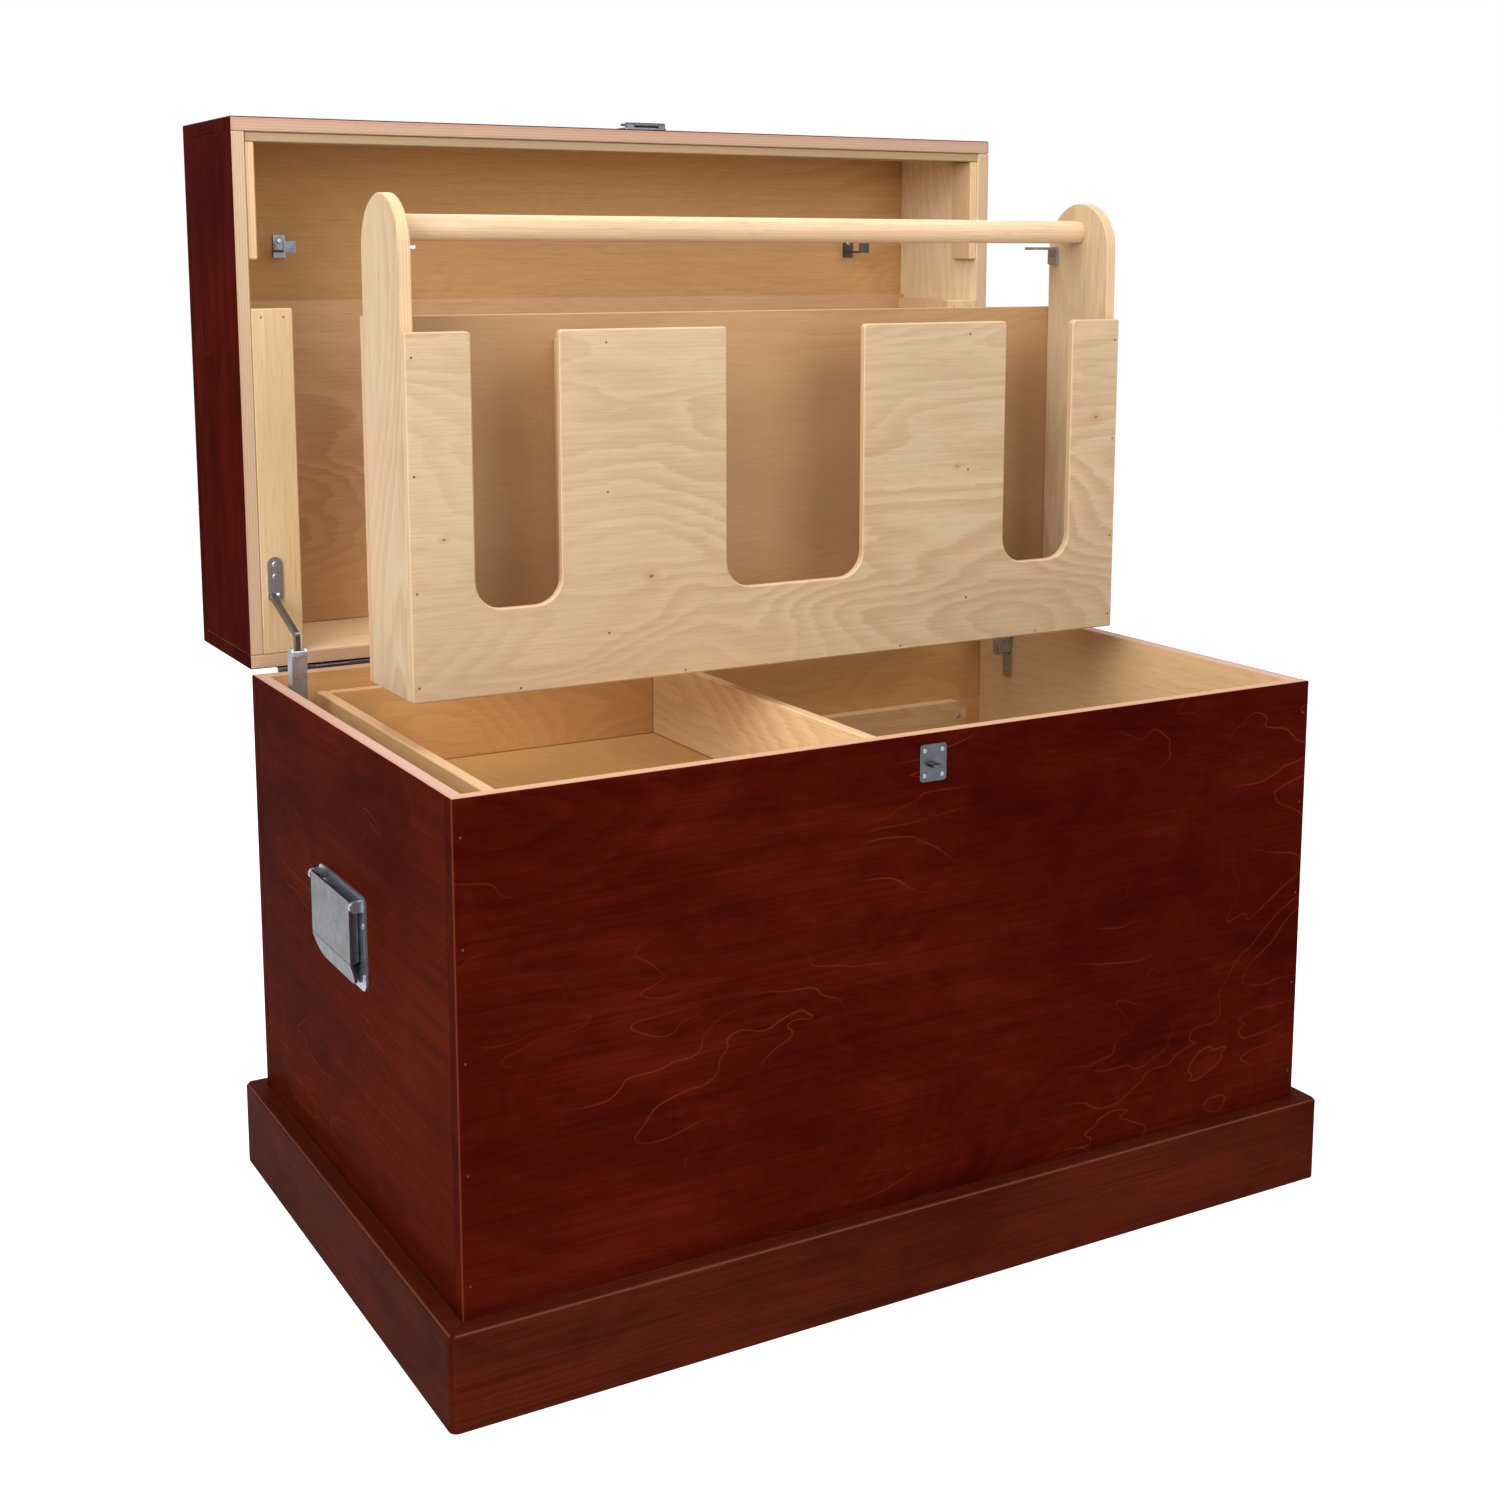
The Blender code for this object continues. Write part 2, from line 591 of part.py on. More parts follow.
def build_stay_plate(name, side, lid, lid_pivot):
    """Plate on the lid's stay board, with an ear and pin for the link."""
    near, far = link_span()
    ear = far + TURN
    middle = side * (INNER_X - ear - STAY_EAR / 2)
    half = STAY_PLATE_WIDTH / 2
    foot = lid_pivot.y - half / 2
    head = foot + STAY_PLATE_LENGTH
    outline = [(middle - half, foot), (middle + half, foot)] + arc((middle, head - half), half, 0, 180, 8)
    back = LID_RIM_Y - SEAT
    piece = profile("stay_plate_" + name, outline, "y", back - STAY_SHEET, back, lid, STEEL)
    x0, x1 = across(side, ear, ear + STAY_EAR)
    add_profile(piece, lug((back - STAY_SHEET / 2, lid_pivot.y), lid_pivot, half / 2), "x", x0, x1)
    x0, x1 = across(side, near, ear + STAY_EAR / 2)
    add_profile(piece, circle(lid_pivot, STAY_PIN, 12), "x", x0, x1)


def build_stays(trunk, lid):
    body, knee, lid_pivot = stay_points()
    for name, side in (("left", -1), ("right", 1)):
        place = side * INNER_X
        arm = axis_empty("stay_arm_axis_" + name, (place, *body), trunk)
        link = axis_empty("stay_link_axis_" + name, (place, *knee), arm)
        build_stay_body(name, side, trunk, body)
        build_stay_arm(name, side, arm, body, knee)
        build_stay_link(name, side, link, knee, lid_pivot)
        build_stay_plate(name, side, lid, lid_pivot)


def hasp_axis():
    return LID_RIM_Y + HASP_FROM_RIM, LID_HEAD_Z + SEAT + HASP_SHEET + SEAT + HASP_BARREL


def build_hasp(trunk, lid):
    """A small hasp: its plate on the lid's front rail, the flap folded back on it, a keeper below."""
    axis_y, axis_z = hasp_axis()
    seat = LID_HEAD_Z + SEAT
    half = HASP_PLATE_WIDTH / 2
    near = axis_y - HASP_BARREL
    outline = rounded_rectangle((-half, near), (half, near + HASP_PLATE_DEPTH), HASP_BARREL, 3)
    plate = profile("hasp_plate", outline, "z", seat, seat + HASP_SHEET, lid, STEEL)
    inner, outer = HASP_WIDTH / 2 + TURN, half - HASP_SHEET
    ear = lug((axis_y, seat + HASP_SHEET / 2), (axis_y, axis_z), HASP_BARREL)
    for x0, x1 in ((-outer, -inner), (inner, outer)):
        add_profile(plate, ear, "x", x0, x1)
    add_profile(plate, circle((axis_y, axis_z), HASP_BARREL / 2, 12), "x", -outer + TURN, outer - TURN)
    flap = axis_empty("hasp_axis", (0, axis_y, axis_z), lid)
    top = axis_z + HASP_BARREL
    end = axis_y + HASP_LENGTH
    round_end = HASP_WIDTH / 2
    wide = HASP_WIDTH / 2
    shape = [(-wide, axis_y), (wide, axis_y)] + arc((0, end - round_end), round_end, 0, 180, 12)
    piece = profile("hasp_flap", shape, "z", top - HASP_SHEET, top, flap, STEEL)
    add_profile(piece, circle((axis_y, axis_z), HASP_BARREL, 16), "x", -wide, wide)
    bore = round_hole((axis_y, axis_z), HASP_BARREL / 2 + TURN, 12)
    cut_profile(piece, bore, "x", -half, half)
    staple_y = axis_y + STAPLE_BELOW_RIM + HASP_FROM_RIM + LID_GAP
    slot_half = (STAPLE_WIDTH / 2 + SLOT_PLAY, STAPLE_SHEET / 2 + SLOT_PLAY)
    slot_low = (-slot_half[0], staple_y - slot_half[1])
    slot_high = (slot_half[0], staple_y + slot_half[1])
    cut_profile(piece, rounded_rectangle(slot_low, slot_high, SLOT_PLAY, 3), "z", axis_z, top + SEAT)
    build_keeper(trunk)


def build_keeper(trunk):
    face = -HALF_DEPTH - SEAT
    half = KEEPER_WIDTH / 2
    head = RIM_HEIGHT - KEEPER_BELOW_RIM
    outline = rounded_rectangle((-half, head - KEEPER_HEIGHT), (half, head), HASP_BARREL, 3)
    plate = profile("keeper", outline, "y", face - HASP_SHEET / 2, face, trunk, STEEL)
    staple_z = RIM_HEIGHT - STAPLE_BELOW_RIM
    half = STAPLE_WIDTH / 2
    tip = face - STAPLE_REACH + half
    loop = [(half, face - HASP_SHEET / 4), (-half, face - HASP_SHEET / 4)] + arc((0, tip), half, 180, 360, 10)
    low, high = staple_z - STAPLE_SHEET / 2, staple_z + STAPLE_SHEET / 2
    add_profile(plate, loop, "z", low, high)
    cut_profile(plate, circle((0, tip), half / 2, 12), "z", low - SEAT, high + SEAT)


def build_handle(name, side, trunk):
    """Chest handle: a plate with two ears and a pin, and a pressed steel grip that hangs on the pin."""
    half = HANDLE_WIDTH / 2
    top = RIM_HEIGHT - HANDLE_BELOW_RIM
    wall = HALF_WIDTH + SEAT
    sheet = HANDLE_SHEET
    outline = rounded_rectangle((-half, top - HANDLE_HEIGHT), (half, top), HANDLE_CORNER)
    x0, x1 = sorted((side * wall, side * (wall + sheet)))
    plate = profile("handle_plate_" + name, outline, "x", x0, x1, trunk, STEEL)
    axis_x, axis_z = side * (wall + HANDLE_STANDOFF), top - HANDLE_PIVOT_DROP
    ear = lug((side * (wall + sheet / 2), axis_z), (axis_x, axis_z), HANDLE_EAR_HALF)
    inner, outer = GRIP_WIDTH / 2 + TURN, GRIP_WIDTH / 2 + TURN + HANDLE_EAR
    add_profile(plate, ear, "y", -outer, -inner)
    add_profile(plate, ear, "y", inner, outer)
    pin_half = (inner + outer) / 2
    add_profile(plate, circle((axis_x, axis_z), HANDLE_PIN, 12), "y", -pin_half, pin_half)
    grip = axis_empty("handle_axis_" + name, (axis_x, 0, axis_z), trunk)
    build_grip(name, side, grip, axis_x, axis_z)


def build_grip(name, side, grip, axis_x, axis_z):
    """Pressed grip: a face bent in at its lower lip, and two cheeks that turn on the pin."""
    half, sheet = GRIP_WIDTH / 2, HANDLE_SHEET
    outer = axis_x + side * GRIP_FACE
    inner = outer - side * sheet
    head, drop = axis_z + GRIP_RISE, axis_z - GRIP_DROP
    crease = drop + GRIP_LIP
    bend = side * GRIP_BEND
    face = [(inner - bend, drop), (outer - bend, drop), (outer, crease)]
    face += [(outer, head), (inner, head), (inner, crease)]
    piece = profile("handle_grip_" + name, face, "y", -half, half, grip, STEEL)
    back = axis_x - side * GRIP_CHEEK
    buried = (inner + outer) / 2
    cheek = [(buried, head), (back, head - GRIP_CHEEK), (back, crease + GRIP_CHEEK), (buried, crease)]
    add_profile(piece, cheek, "y", -half, -half + sheet)
    add_profile(piece, cheek, "y", half - sheet, half)
    r = GRIP_CORNER
    reach = 2 * (GRIP_FACE + GRIP_CHEEK)
    for end in (-1, 1):
        corner = end * half
        notch = [(corner + end * sheet, drop - sheet), (corner + end * sheet, drop + r)]
        notch += arc((corner - end * r, drop + r), r, 0 if end > 0 else 180, -90 if end > 0 else 270, 6)
        notch += [(corner - end * r, drop - sheet)]
        cut_profile(piece, notch, "x", axis_x - reach, axis_x + reach)
    bore = round_hole((axis_x, axis_z), HANDLE_PIN + TURN, 12)
    cut_profile(piece, bore, "y", -half - sheet, half + sheet)
    over, deep, wide = outer + side * SEAT, outer - side * GRIP_GROOVE, 2 * GRIP_GROOVE
    groove = [(over, crease + wide), (deep, crease + wide / 2), (over, crease)]
    cut_profile(piece, groove, "y", -half - sheet, half + sheet)


def pocket_edge(middle, width, foot, top):
    """Left to right along one pocket: down its side, round its two corners and up again."""
    half, r, c = width / 2, POCKET_CORNER, TAB_CORNER
    start = arc((middle - half - c, top - c), c, 90, 0, 3)
    end = arc((middle + half + c, top - c), c, 180, 90, 3)
    left = arc((middle - half + r, foot + r), r, 180, 270, 6)
    right = arc((middle + half - r, foot + r), r, 270, 360, 6)
    return start + left + right + end


def build_tote(tote):
    half = TOTE_LENGTH / 2
    foot, top = TOTE_Z, TOTE_Z + TOTE_HEIGHT
    outline = [(half, top), (half, foot), (-half, foot), (-half, top)]
    pockets = (
        (-SIDE_POCKET_MIDDLE, SIDE_POCKET_WIDTH),
        (0.0, MIDDLE_POCKET_WIDTH),
        (SIDE_POCKET_MIDDLE, SIDE_POCKET_WIDTH),
    )
    for middle, width in pockets:
        outline += pocket_edge(middle, width, foot + POCKET_BOTTOM, top)
    front = profile("tote_front", outline, "y", TOTE_FRONT, TOTE_FRONT + TOTE_BOARD, tote, BIRCH)
    ease_edges(front, TAB_EASE)
    back = TOTE_END_BACK + SEAT
    board("tote_back", (-half, back, foot), (half, back + TOTE_BOARD, foot + TOTE_BACK_HEIGHT), tote, BIRCH)
    front, inner = TOTE_END_FRONT, TOTE_INNER_X - SEAT
    board("tote_bottom", (-inner, front, foot), (inner, TOTE_END_BACK, foot + TOTE_BOARD), tote, BIRCH)
    low, high = foot + TOTE_BOARD + SEAT, foot + TOTE_DIVIDER_HEIGHT
    thick = TOTE_BOARD / 2
    for name, middle in (("left", -TOTE_DIVIDER_MIDDLE), ("right", TOTE_DIVIDER_MIDDLE)):
        corner = (middle + thick, TOTE_END_BACK, high)
        board("tote_divider_" + name, (middle - thick, front, low), corner, tote, BIRCH)
    build_tote_ends(tote)


def build_tote_ends(tote):
    half, foot = TOTE_LENGTH / 2, TOTE_Z
    radius = TOTE_END_DEPTH / 2
    crown = foot + TOTE_END_HEIGHT - radius
    outline = [(TOTE_END_FRONT, foot), (TOTE_END_BACK, foot)] + arc((DOWEL_Y, crown), radius, 0, 180, 20)
    dowel = (DOWEL_Y, foot + DOWEL_HEIGHT)
    socket = round_hole(dowel, DOWEL + SEAT, 24)
    for name, side in (("left", -1), ("right", 1)):
        x0, x1 = sorted((side * TOTE_INNER_X, side * half))
        end = ease_edges(profile("tote_end_" + name, outline, "x", x0, x1, tote, BIRCH))
        x0, x1 = sorted((side * (TOTE_INNER_X - SEAT), side * (TOTE_INNER_X + DOWEL_SOCKET)))
        cut_profile(end, socket, "x", x0, x1)
    reach = TOTE_INNER_X + DOWEL_SOCKET - SEAT
    rod = profile("tote_dowel", circle(dowel, DOWEL, 24), "x", -reach, reach, tote, BIRCH)
    rod.data.shade_smooth()
    rod.data.set_sharp_from_angle(angle=radians(40))


def build_hooks(lid, tote):
    """Bent hooks on the lid's panel, and the angle catches on the tote that rest in them."""
    sheet = HOOK_SHEET
    bar_z = CATCH_Z
    floor = bar_z - CATCH_SHEET / 2 - SEAT
    wall = LID_PANEL_Y - SEAT
    tip = wall - HOOK_REACH
    hook = [(wall, floor - HOOK_PLATE / 2), (wall, floor + HOOK_PLATE), (wall - sheet, floor + HOOK_PLATE)]
    hook += [(wall - sheet, floor), (tip + sheet, floor), (tip + sheet, floor + HOOK_TIP)]
    hook += [(tip, floor + HOOK_TIP), (tip, floor - sheet), (wall - sheet, floor - sheet)]
    hook += [(wall - sheet, floor - HOOK_PLATE / 2)]
    end = TOTE_INNER_X - SEAT
    high = TOTE_END_BACK - CATCH_FROM_BACK
    low = high - CATCH_DEPTH
    for name, side in (("left", -1), ("right", 1)):
        middle = side * HOOK_MIDDLE
        profile("lid_hook_" + name, hook, "x", middle - HOOK_WIDTH / 2, middle + HOOK_WIDTH / 2, lid, STEEL)
        angle = [(end, bar_z - CATCH_PLATE), (end, bar_z + CATCH_SHEET / 2)]
        angle += [(end - CATCH_REACH, bar_z + CATCH_SHEET / 2), (end - CATCH_REACH, bar_z - CATCH_SHEET / 2)]
        angle += [(end - CATCH_SHEET, bar_z - CATCH_SHEET / 2), (end - CATCH_SHEET, bar_z - CATCH_PLATE)]
        outline = [(side * x, z) for x, z in angle]
        profile("tote_catch_" + name, outline, "y", low, high, tote, STEEL)


def build():
    clear_scene()
    trunk = axis_empty("trunk", (0, 0, 0))
    lid = axis_empty("lid_axis", (0, HINGE_Y, HINGE_Z), trunk)
    tray = axis_empty("tray_axis", (TRAY_LEFT_X, 0, TRAY_FOOT_Z), trunk)
    tote = axis_empty("tote_axis", (0, DOWEL_Y, TOTE_Z), trunk)
    build_box(trunk)
    build_plinth(trunk)
    build_runners(trunk)
    build_tray(tray)
    build_lid(lid)
    build_lid_lining(lid)
    build_hinge(trunk, lid)
    build_stays(trunk, lid)
    build_hasp(trunk, lid)
    for name, side in (("left", -1), ("right", 1)):
        build_handle(name, side, trunk)
    build_tote(tote)
    build_hooks(lid, tote)
    trunk.location.y = MIDDLE_SHIFT


build()
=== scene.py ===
from itertools import count
from math import radians
from types import SimpleNamespace

import bpy
from mathutils import Matrix, Vector


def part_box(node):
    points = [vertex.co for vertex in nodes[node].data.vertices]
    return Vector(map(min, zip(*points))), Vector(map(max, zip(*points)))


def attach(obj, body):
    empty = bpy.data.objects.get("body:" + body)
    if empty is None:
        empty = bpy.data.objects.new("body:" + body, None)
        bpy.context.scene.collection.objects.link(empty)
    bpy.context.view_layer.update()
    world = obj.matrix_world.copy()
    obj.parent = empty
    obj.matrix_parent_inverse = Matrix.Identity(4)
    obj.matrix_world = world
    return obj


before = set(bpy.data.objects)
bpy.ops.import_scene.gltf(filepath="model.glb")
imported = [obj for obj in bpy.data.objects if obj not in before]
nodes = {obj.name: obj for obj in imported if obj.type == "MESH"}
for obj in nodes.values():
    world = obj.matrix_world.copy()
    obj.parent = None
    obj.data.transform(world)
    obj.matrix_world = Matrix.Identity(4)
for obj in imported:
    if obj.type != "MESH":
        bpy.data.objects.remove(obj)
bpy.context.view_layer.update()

# The box of the trunk: four walls of 15 mm birch plywood, glued and nailed at the corners.
# Outside they are stained a deep red and lacquered to a satin sheen. The inside stays bare,
# and the rim shows the plies of the board.
skin_depth = 0.0011
far = 10.0


def add_node(tree, kind, links=None, **settings):
    """A shader node with its settings, and with values or links on its inputs."""
    made = tree.nodes.new("ShaderNode" + kind)
    for key, value in settings.items():
        setattr(made, key, value)
    for key, value in (links or {}).items():
        socket = made.inputs[key]
        if isinstance(value, bpy.types.NodeSocket):
            tree.links.new(value, socket)
        else:
            socket.default_value = value
    return made


def calc(tree, operation, first, second=0.0, third=0.0):
    """One step of arithmetic on shader values."""
    links = {0: first, 1: second, 2: third}
    return add_node(tree, "Math", links, operation=operation).outputs[0]


def vector_calc(tree, operation, first, second=(0.0, 0.0, 0.0)):
    """One step of arithmetic on shader vectors."""
    return add_node(tree, "VectorMath", {0: first, 1: second}, operation=operation).outputs


def drawn_out(tree, place, along, across):
    """A place scaled so that a cloud read there is drawn out along the grain."""
    return vector_calc(tree, "MULTIPLY", place, (along, across, across))["Vector"]


def ease(tree, value, low, high, start=0.0, end=1.0):
    """A smooth step of a value from one level to another."""
    links = {"Value": value, "From Min": low, "From Max": high, "To Min": start, "To Max": end}
    return add_node(tree, "MapRange", links, interpolation_type="SMOOTHSTEP").outputs[0]


def blend(tree, factor, under, over):
    """A mix of two colours."""
    links = {0: factor, 6: under, 7: over}
    return add_node(tree, "Mix", links, data_type="RGBA").outputs[2]


def tint(tree, mask, share, under, over):
    """A colour laid over another where a mask shows, at a share of its full strength."""
    return blend(tree, calc(tree, "MULTIPLY", mask, share), under, over)


def cloud(tree, place, scale=1.0, detail=2.0, roughness=0.5, distortion=0.0):
    """A soft random pattern."""
    links = {
        "Vector": place, "Scale": scale, "Detail": detail,
        "Roughness": roughness, "Distortion": distortion,
    }
    return add_node(tree, "TexNoise", links).outputs["Fac"]


def shade(red, green, blue):
    """A colour as a screen shows it, 0 to 255, turned into the linear colour a shader takes."""
    toe, toe_slope, lift, curve = 0.04045, 12.92, 0.055, 2.4
    linear = []
    for part in (red / 255, green / 255, blue / 255):
        linear.append(part / toe_slope if part <= toe else ((part + lift) / (1 + lift)) ** curve)
    return (*linear, 1.0)


def dimmed(colour, share):
    """The same colour with less light in it."""
    return tuple(share * part for part in colour[:3]) + (1.0,)


def new_group(name, inputs, outputs):
    """An empty shader group with its named inputs, and with outputs that are masks or values."""
    group = bpy.data.node_groups.new(name, "ShaderNodeTree")
    for socket, kind, value in inputs:
        kind = "NodeSocket" + kind
        made = group.interface.new_socket(socket, in_out="INPUT", socket_type=kind)
        made.default_value = value
    for socket in outputs:
        group.interface.new_socket(socket, in_out="OUTPUT", socket_type="NodeSocketFloat")
    take = group.nodes.new("NodeGroupInput").outputs
    give = group.nodes.new("NodeGroupOutput").inputs
    return group, take, give


def place_group(tree, group, **links):
    """A shader group placed in a material with its own values."""
    return add_node(tree, "Group", links, node_tree=group).outputs


def make_figure():
    """Rotary-cut figure with the grain along X: bands, streaks, blotches, fibres and pores."""
    group, take, give = new_group(
        "ply_figure",
        [("Vector", "Vector", (0, 0, 0)), ("Bands", "Float", 40.0), ("Stretch", "Float", 3.0)],
        ("Bands", "Streaks", "Mottle", "Fibres", "Pores", "Tone", "Height"),
    )
    raggedness, weakest_band, band_range = 0.9, 0.25, 0.75
    fibre_height, band_height, pore_height = 0.6, 0.4, -0.5
    place = take["Vector"]

    squeeze = calc(group, "DIVIDE", 1.0, take["Stretch"])
    scale = add_node(group, "CombineXYZ", {0: squeeze, 1: 1.0, 2: 1.0}).outputs[0]
    long = vector_calc(group, "MULTIPLY", place, scale)["Vector"]
    hills = cloud(group, long, scale=4.6, detail=2.4, roughness=0.42, distortion=0.45)
    fine = drawn_out(group, place, along=26.0, across=150.0)
    ragged = cloud(group, fine, detail=4.0, roughness=0.65)
    ragged = calc(group, "MULTIPLY", ragged, raggedness)
    turn = calc(group, "FRACT", calc(group, "MULTIPLY_ADD", hills, take["Bands"], ragged))
    rise = ease(group, turn, low=0.0, high=0.8)
    fall = ease(group, turn, low=0.84, high=1.0, start=1.0, end=0.0)
    lively = ease(group, cloud(group, long, scale=3.4, detail=1.0), low=0.34, high=0.66)
    strength = calc(group, "MULTIPLY_ADD", lively, band_range, weakest_band)
    bands = calc(group, "MULTIPLY", calc(group, "MULTIPLY", rise, fall), strength)

    fine = drawn_out(group, place, along=7.0, across=360.0)
    fibres = cloud(group, fine, detail=4.0, roughness=0.65)
    fine = drawn_out(group, place, along=34.0, across=800.0)
    pores = ease(group, cloud(group, fine, detail=1.0), low=0.60, high=0.72)
    slow = drawn_out(group, place, along=2.2, across=5.0)
    tone = cloud(group, slow, detail=2.5, roughness=0.55)
    slow = drawn_out(group, place, along=1.1, across=34.0)
    streaks = cloud(group, slow, detail=3.0, roughness=0.55)
    slow = drawn_out(group, place, along=8.0, across=13.0)
    mottle = cloud(group, slow, detail=6.0, roughness=0.68, distortion=0.5)
    raised = calc(group, "MULTIPLY", bands, band_height)
    raised = calc(group, "MULTIPLY_ADD", fibres, fibre_height, raised)
    height = calc(group, "MULTIPLY_ADD", pores, pore_height, raised)

    masks = {
        "Bands": bands, "Streaks": streaks, "Mottle": mottle, "Fibres": fibres,
        "Pores": pores, "Tone": tone, "Height": height,
    }
    for name, value in masks.items():
        group.links.new(value, give[name])
    return group


def make_veins():
    """Thin pale veins: contour lines of a slow figure, all of one width, in a few patches."""
    inputs = [("Vector", "Vector", (0, 0, 0))]
    group, take, give = new_group("stain_veins", inputs, ("Veins",))
    step, lines, half_line, flattest = 0.0015, 11.0, 0.5, 0.002

    def level(shift):
        moved = vector_calc(group, "ADD", take["Vector"], shift)["Vector"]
        slow = drawn_out(group, moved, along=2.4, across=6.0)
        hills = cloud(group, slow, detail=3.0, roughness=0.5, distortion=0.6)
        return calc(group, "MULTIPLY", hills, lines)

    here = level((0.0, 0.0, 0.0))
    rise_x = calc(group, "SUBTRACT", level((step, 0.0, 0.0)), here)
    rise_y = calc(group, "SUBTRACT", level((0.0, step, 0.0)), here)
    square = calc(group, "MULTIPLY", rise_y, rise_y)
    steep = calc(group, "SQRT", calc(group, "MULTIPLY_ADD", rise_x, rise_x, square))
    steep = calc(group, "MAXIMUM", steep, flattest)
    away = calc(group, "DIVIDE", calc(group, "PINGPONG", here, half_line), steep)
    thread = ease(group, away, low=0.10, high=0.80, start=1.0, end=0.0)
    patch = ease(group, cloud(group, take["Vector"], scale=5.5), low=0.49, high=0.66)
    group.links.new(calc(group, "MULTIPLY", thread, patch), give["Veins"])
    return group


def make_skin():
    """The outer skin of a box, how far stain soaks in, and the edges where two skins meet."""
    group, take, give = new_group(
        "outer_skin",
        [("Vector", "Vector", (0, 0, 0)), ("Middle", "Vector", (0, 0, 0)),
         ("Half", "Vector", (1, 1, 1)), ("Depth", "Float", skin_depth)],
        ("Skin", "Soak", "Edge"),
    )
    soak_depths, edge_depths = 6.0, 1.6
    offset = vector_calc(group, "SUBTRACT", take["Vector"], take["Middle"])["Vector"]
    reach = vector_calc(group, "ABSOLUTE", offset)["Vector"]
    inside = vector_calc(group, "SUBTRACT", take["Half"], reach)["Vector"]
    x, y, z = add_node(group, "SeparateXYZ", {0: inside}).outputs
    nearest = calc(group, "MINIMUM", calc(group, "MINIMUM", x, y), z)
    group.links.new(calc(group, "LESS_THAN", nearest, take["Depth"]), give["Skin"])
    deepest = calc(group, "MULTIPLY", take["Depth"], soak_depths)
    soak = ease(group, nearest, low=take["Depth"], high=deepest, start=1.0, end=0.0)
    group.links.new(soak, give["Soak"])

    def close(part):
        width = calc(group, "MULTIPLY", take["Depth"], edge_depths)
        return ease(group, part, low=0.0, high=width, start=1.0, end=0.0)

    close_x, close_y, close_z = close(x), close(y), close(z)
    edge = calc(group, "MULTIPLY", close_x, close_y)
    edge = calc(group, "MAXIMUM", edge, calc(group, "MULTIPLY", close_y, close_z))
    edge = calc(group, "MAXIMUM", edge, calc(group, "MULTIPLY", close_x, close_z))
    group.links.new(edge, give["Edge"])
    return group


def make_plies():
    """A sawn edge of plywood: all that lies between the two face plies, and the plies in it."""
    group, take, give = new_group(
        "sawn_plies",
        [("Vector", "Vector", (0, 0, 0)), ("Across", "Float", 0.0),
         ("Middle", "Float", 0.0), ("Half", "Float", 0.0075)],
        ("Sawn", "Ply"),
    )
    ply_thickness, raggedness = 0.0015, 0.5
    step = calc(group, "SUBTRACT", take["Across"], take["Middle"])
    depth = calc(group, "SUBTRACT", take["Half"], calc(group, "ABSOLUTE", step))
    group.links.new(ease(group, depth, low=0.0006, high=0.0011), give["Sawn"])
    ragged = cloud(group, take["Vector"], scale=55.0)
    layer = calc(group, "DIVIDE", step, ply_thickness)
    layer = calc(group, "MULTIPLY_ADD", ragged, raggedness, layer)
    layer = calc(group, "PINGPONG", layer, 1.0)
    group.links.new(ease(group, layer, low=0.3, high=0.7), give["Ply"])
    return group


ply_figure = make_figure()
stain_veins = make_veins()
outer_skin = make_skin()
sawn_plies = make_plies()
board_numbers = count(1)
board_steps = (0.37, 0.53, 0.71)


def new_material(name):
    """A material with its shader."""
    material = bpy.data.materials.new(name)
    material.use_nodes = True
    return material, material.node_tree, material.node_tree.nodes["Principled BSDF"]


def dress(node, material):
    """A finish put on a piece of the frame."""
    slots = nodes[node].data.materials
    slots.clear()
    slots.append(material)


def lay_grain(tree, node, bands, run):
    """A board's own figure, with the grain along its longest side, and its sawn plies."""
    number = next(board_numbers)
    low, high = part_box(node)
    size = high - low
    order = sorted(range(3), key=lambda axis: -size[axis])
    place = add_node(tree, "TexCoord").outputs["Object"]
    parts = add_node(tree, "SeparateXYZ", {0: place}).outputs
    shifted = {}
    for slot, (axis, step) in enumerate(zip(order, board_steps)):
        shifted[slot] = calc(tree, "ADD", parts[axis], number * step)
    grain = add_node(tree, "CombineXYZ", shifted).outputs[0]
    figure = place_group(tree, ply_figure, Vector=grain, Bands=bands, Stretch=run)
    thin = order[2]
    middle, half = (low[thin] + high[thin]) / 2, size[thin] / 2
    sawn = {"Vector": place, "Across": parts[thin], "Middle": middle, "Half": half}
    plies = place_group(tree, sawn_plies, **sawn)
    return SimpleNamespace(place=place, grain=grain, figure=figure, plies=plies)


def bare_colour(tree, figure, pale, dark, strength):
    """Bare birch: darker along the bands and fibres, with fine pores and slow tone."""
    band_share, fibre_share, pore_share = 0.9, 0.42, 0.30
    slow = ease(tree, figure["Tone"], low=0.3, high=0.7)
    ground = blend(tree, slow, pale, dimmed(pale, share=0.86))
    fine = ease(tree, figure["Fibres"], low=0.36, high=0.66)
    lines = calc(tree, "MULTIPLY", figure["Bands"], band_share)
    lines = calc(tree, "MULTIPLY_ADD", fine, fibre_share, lines)
    lined = tint(tree, lines, strength, ground, dark)
    return tint(tree, figure["Pores"], pore_share, lined, dark)


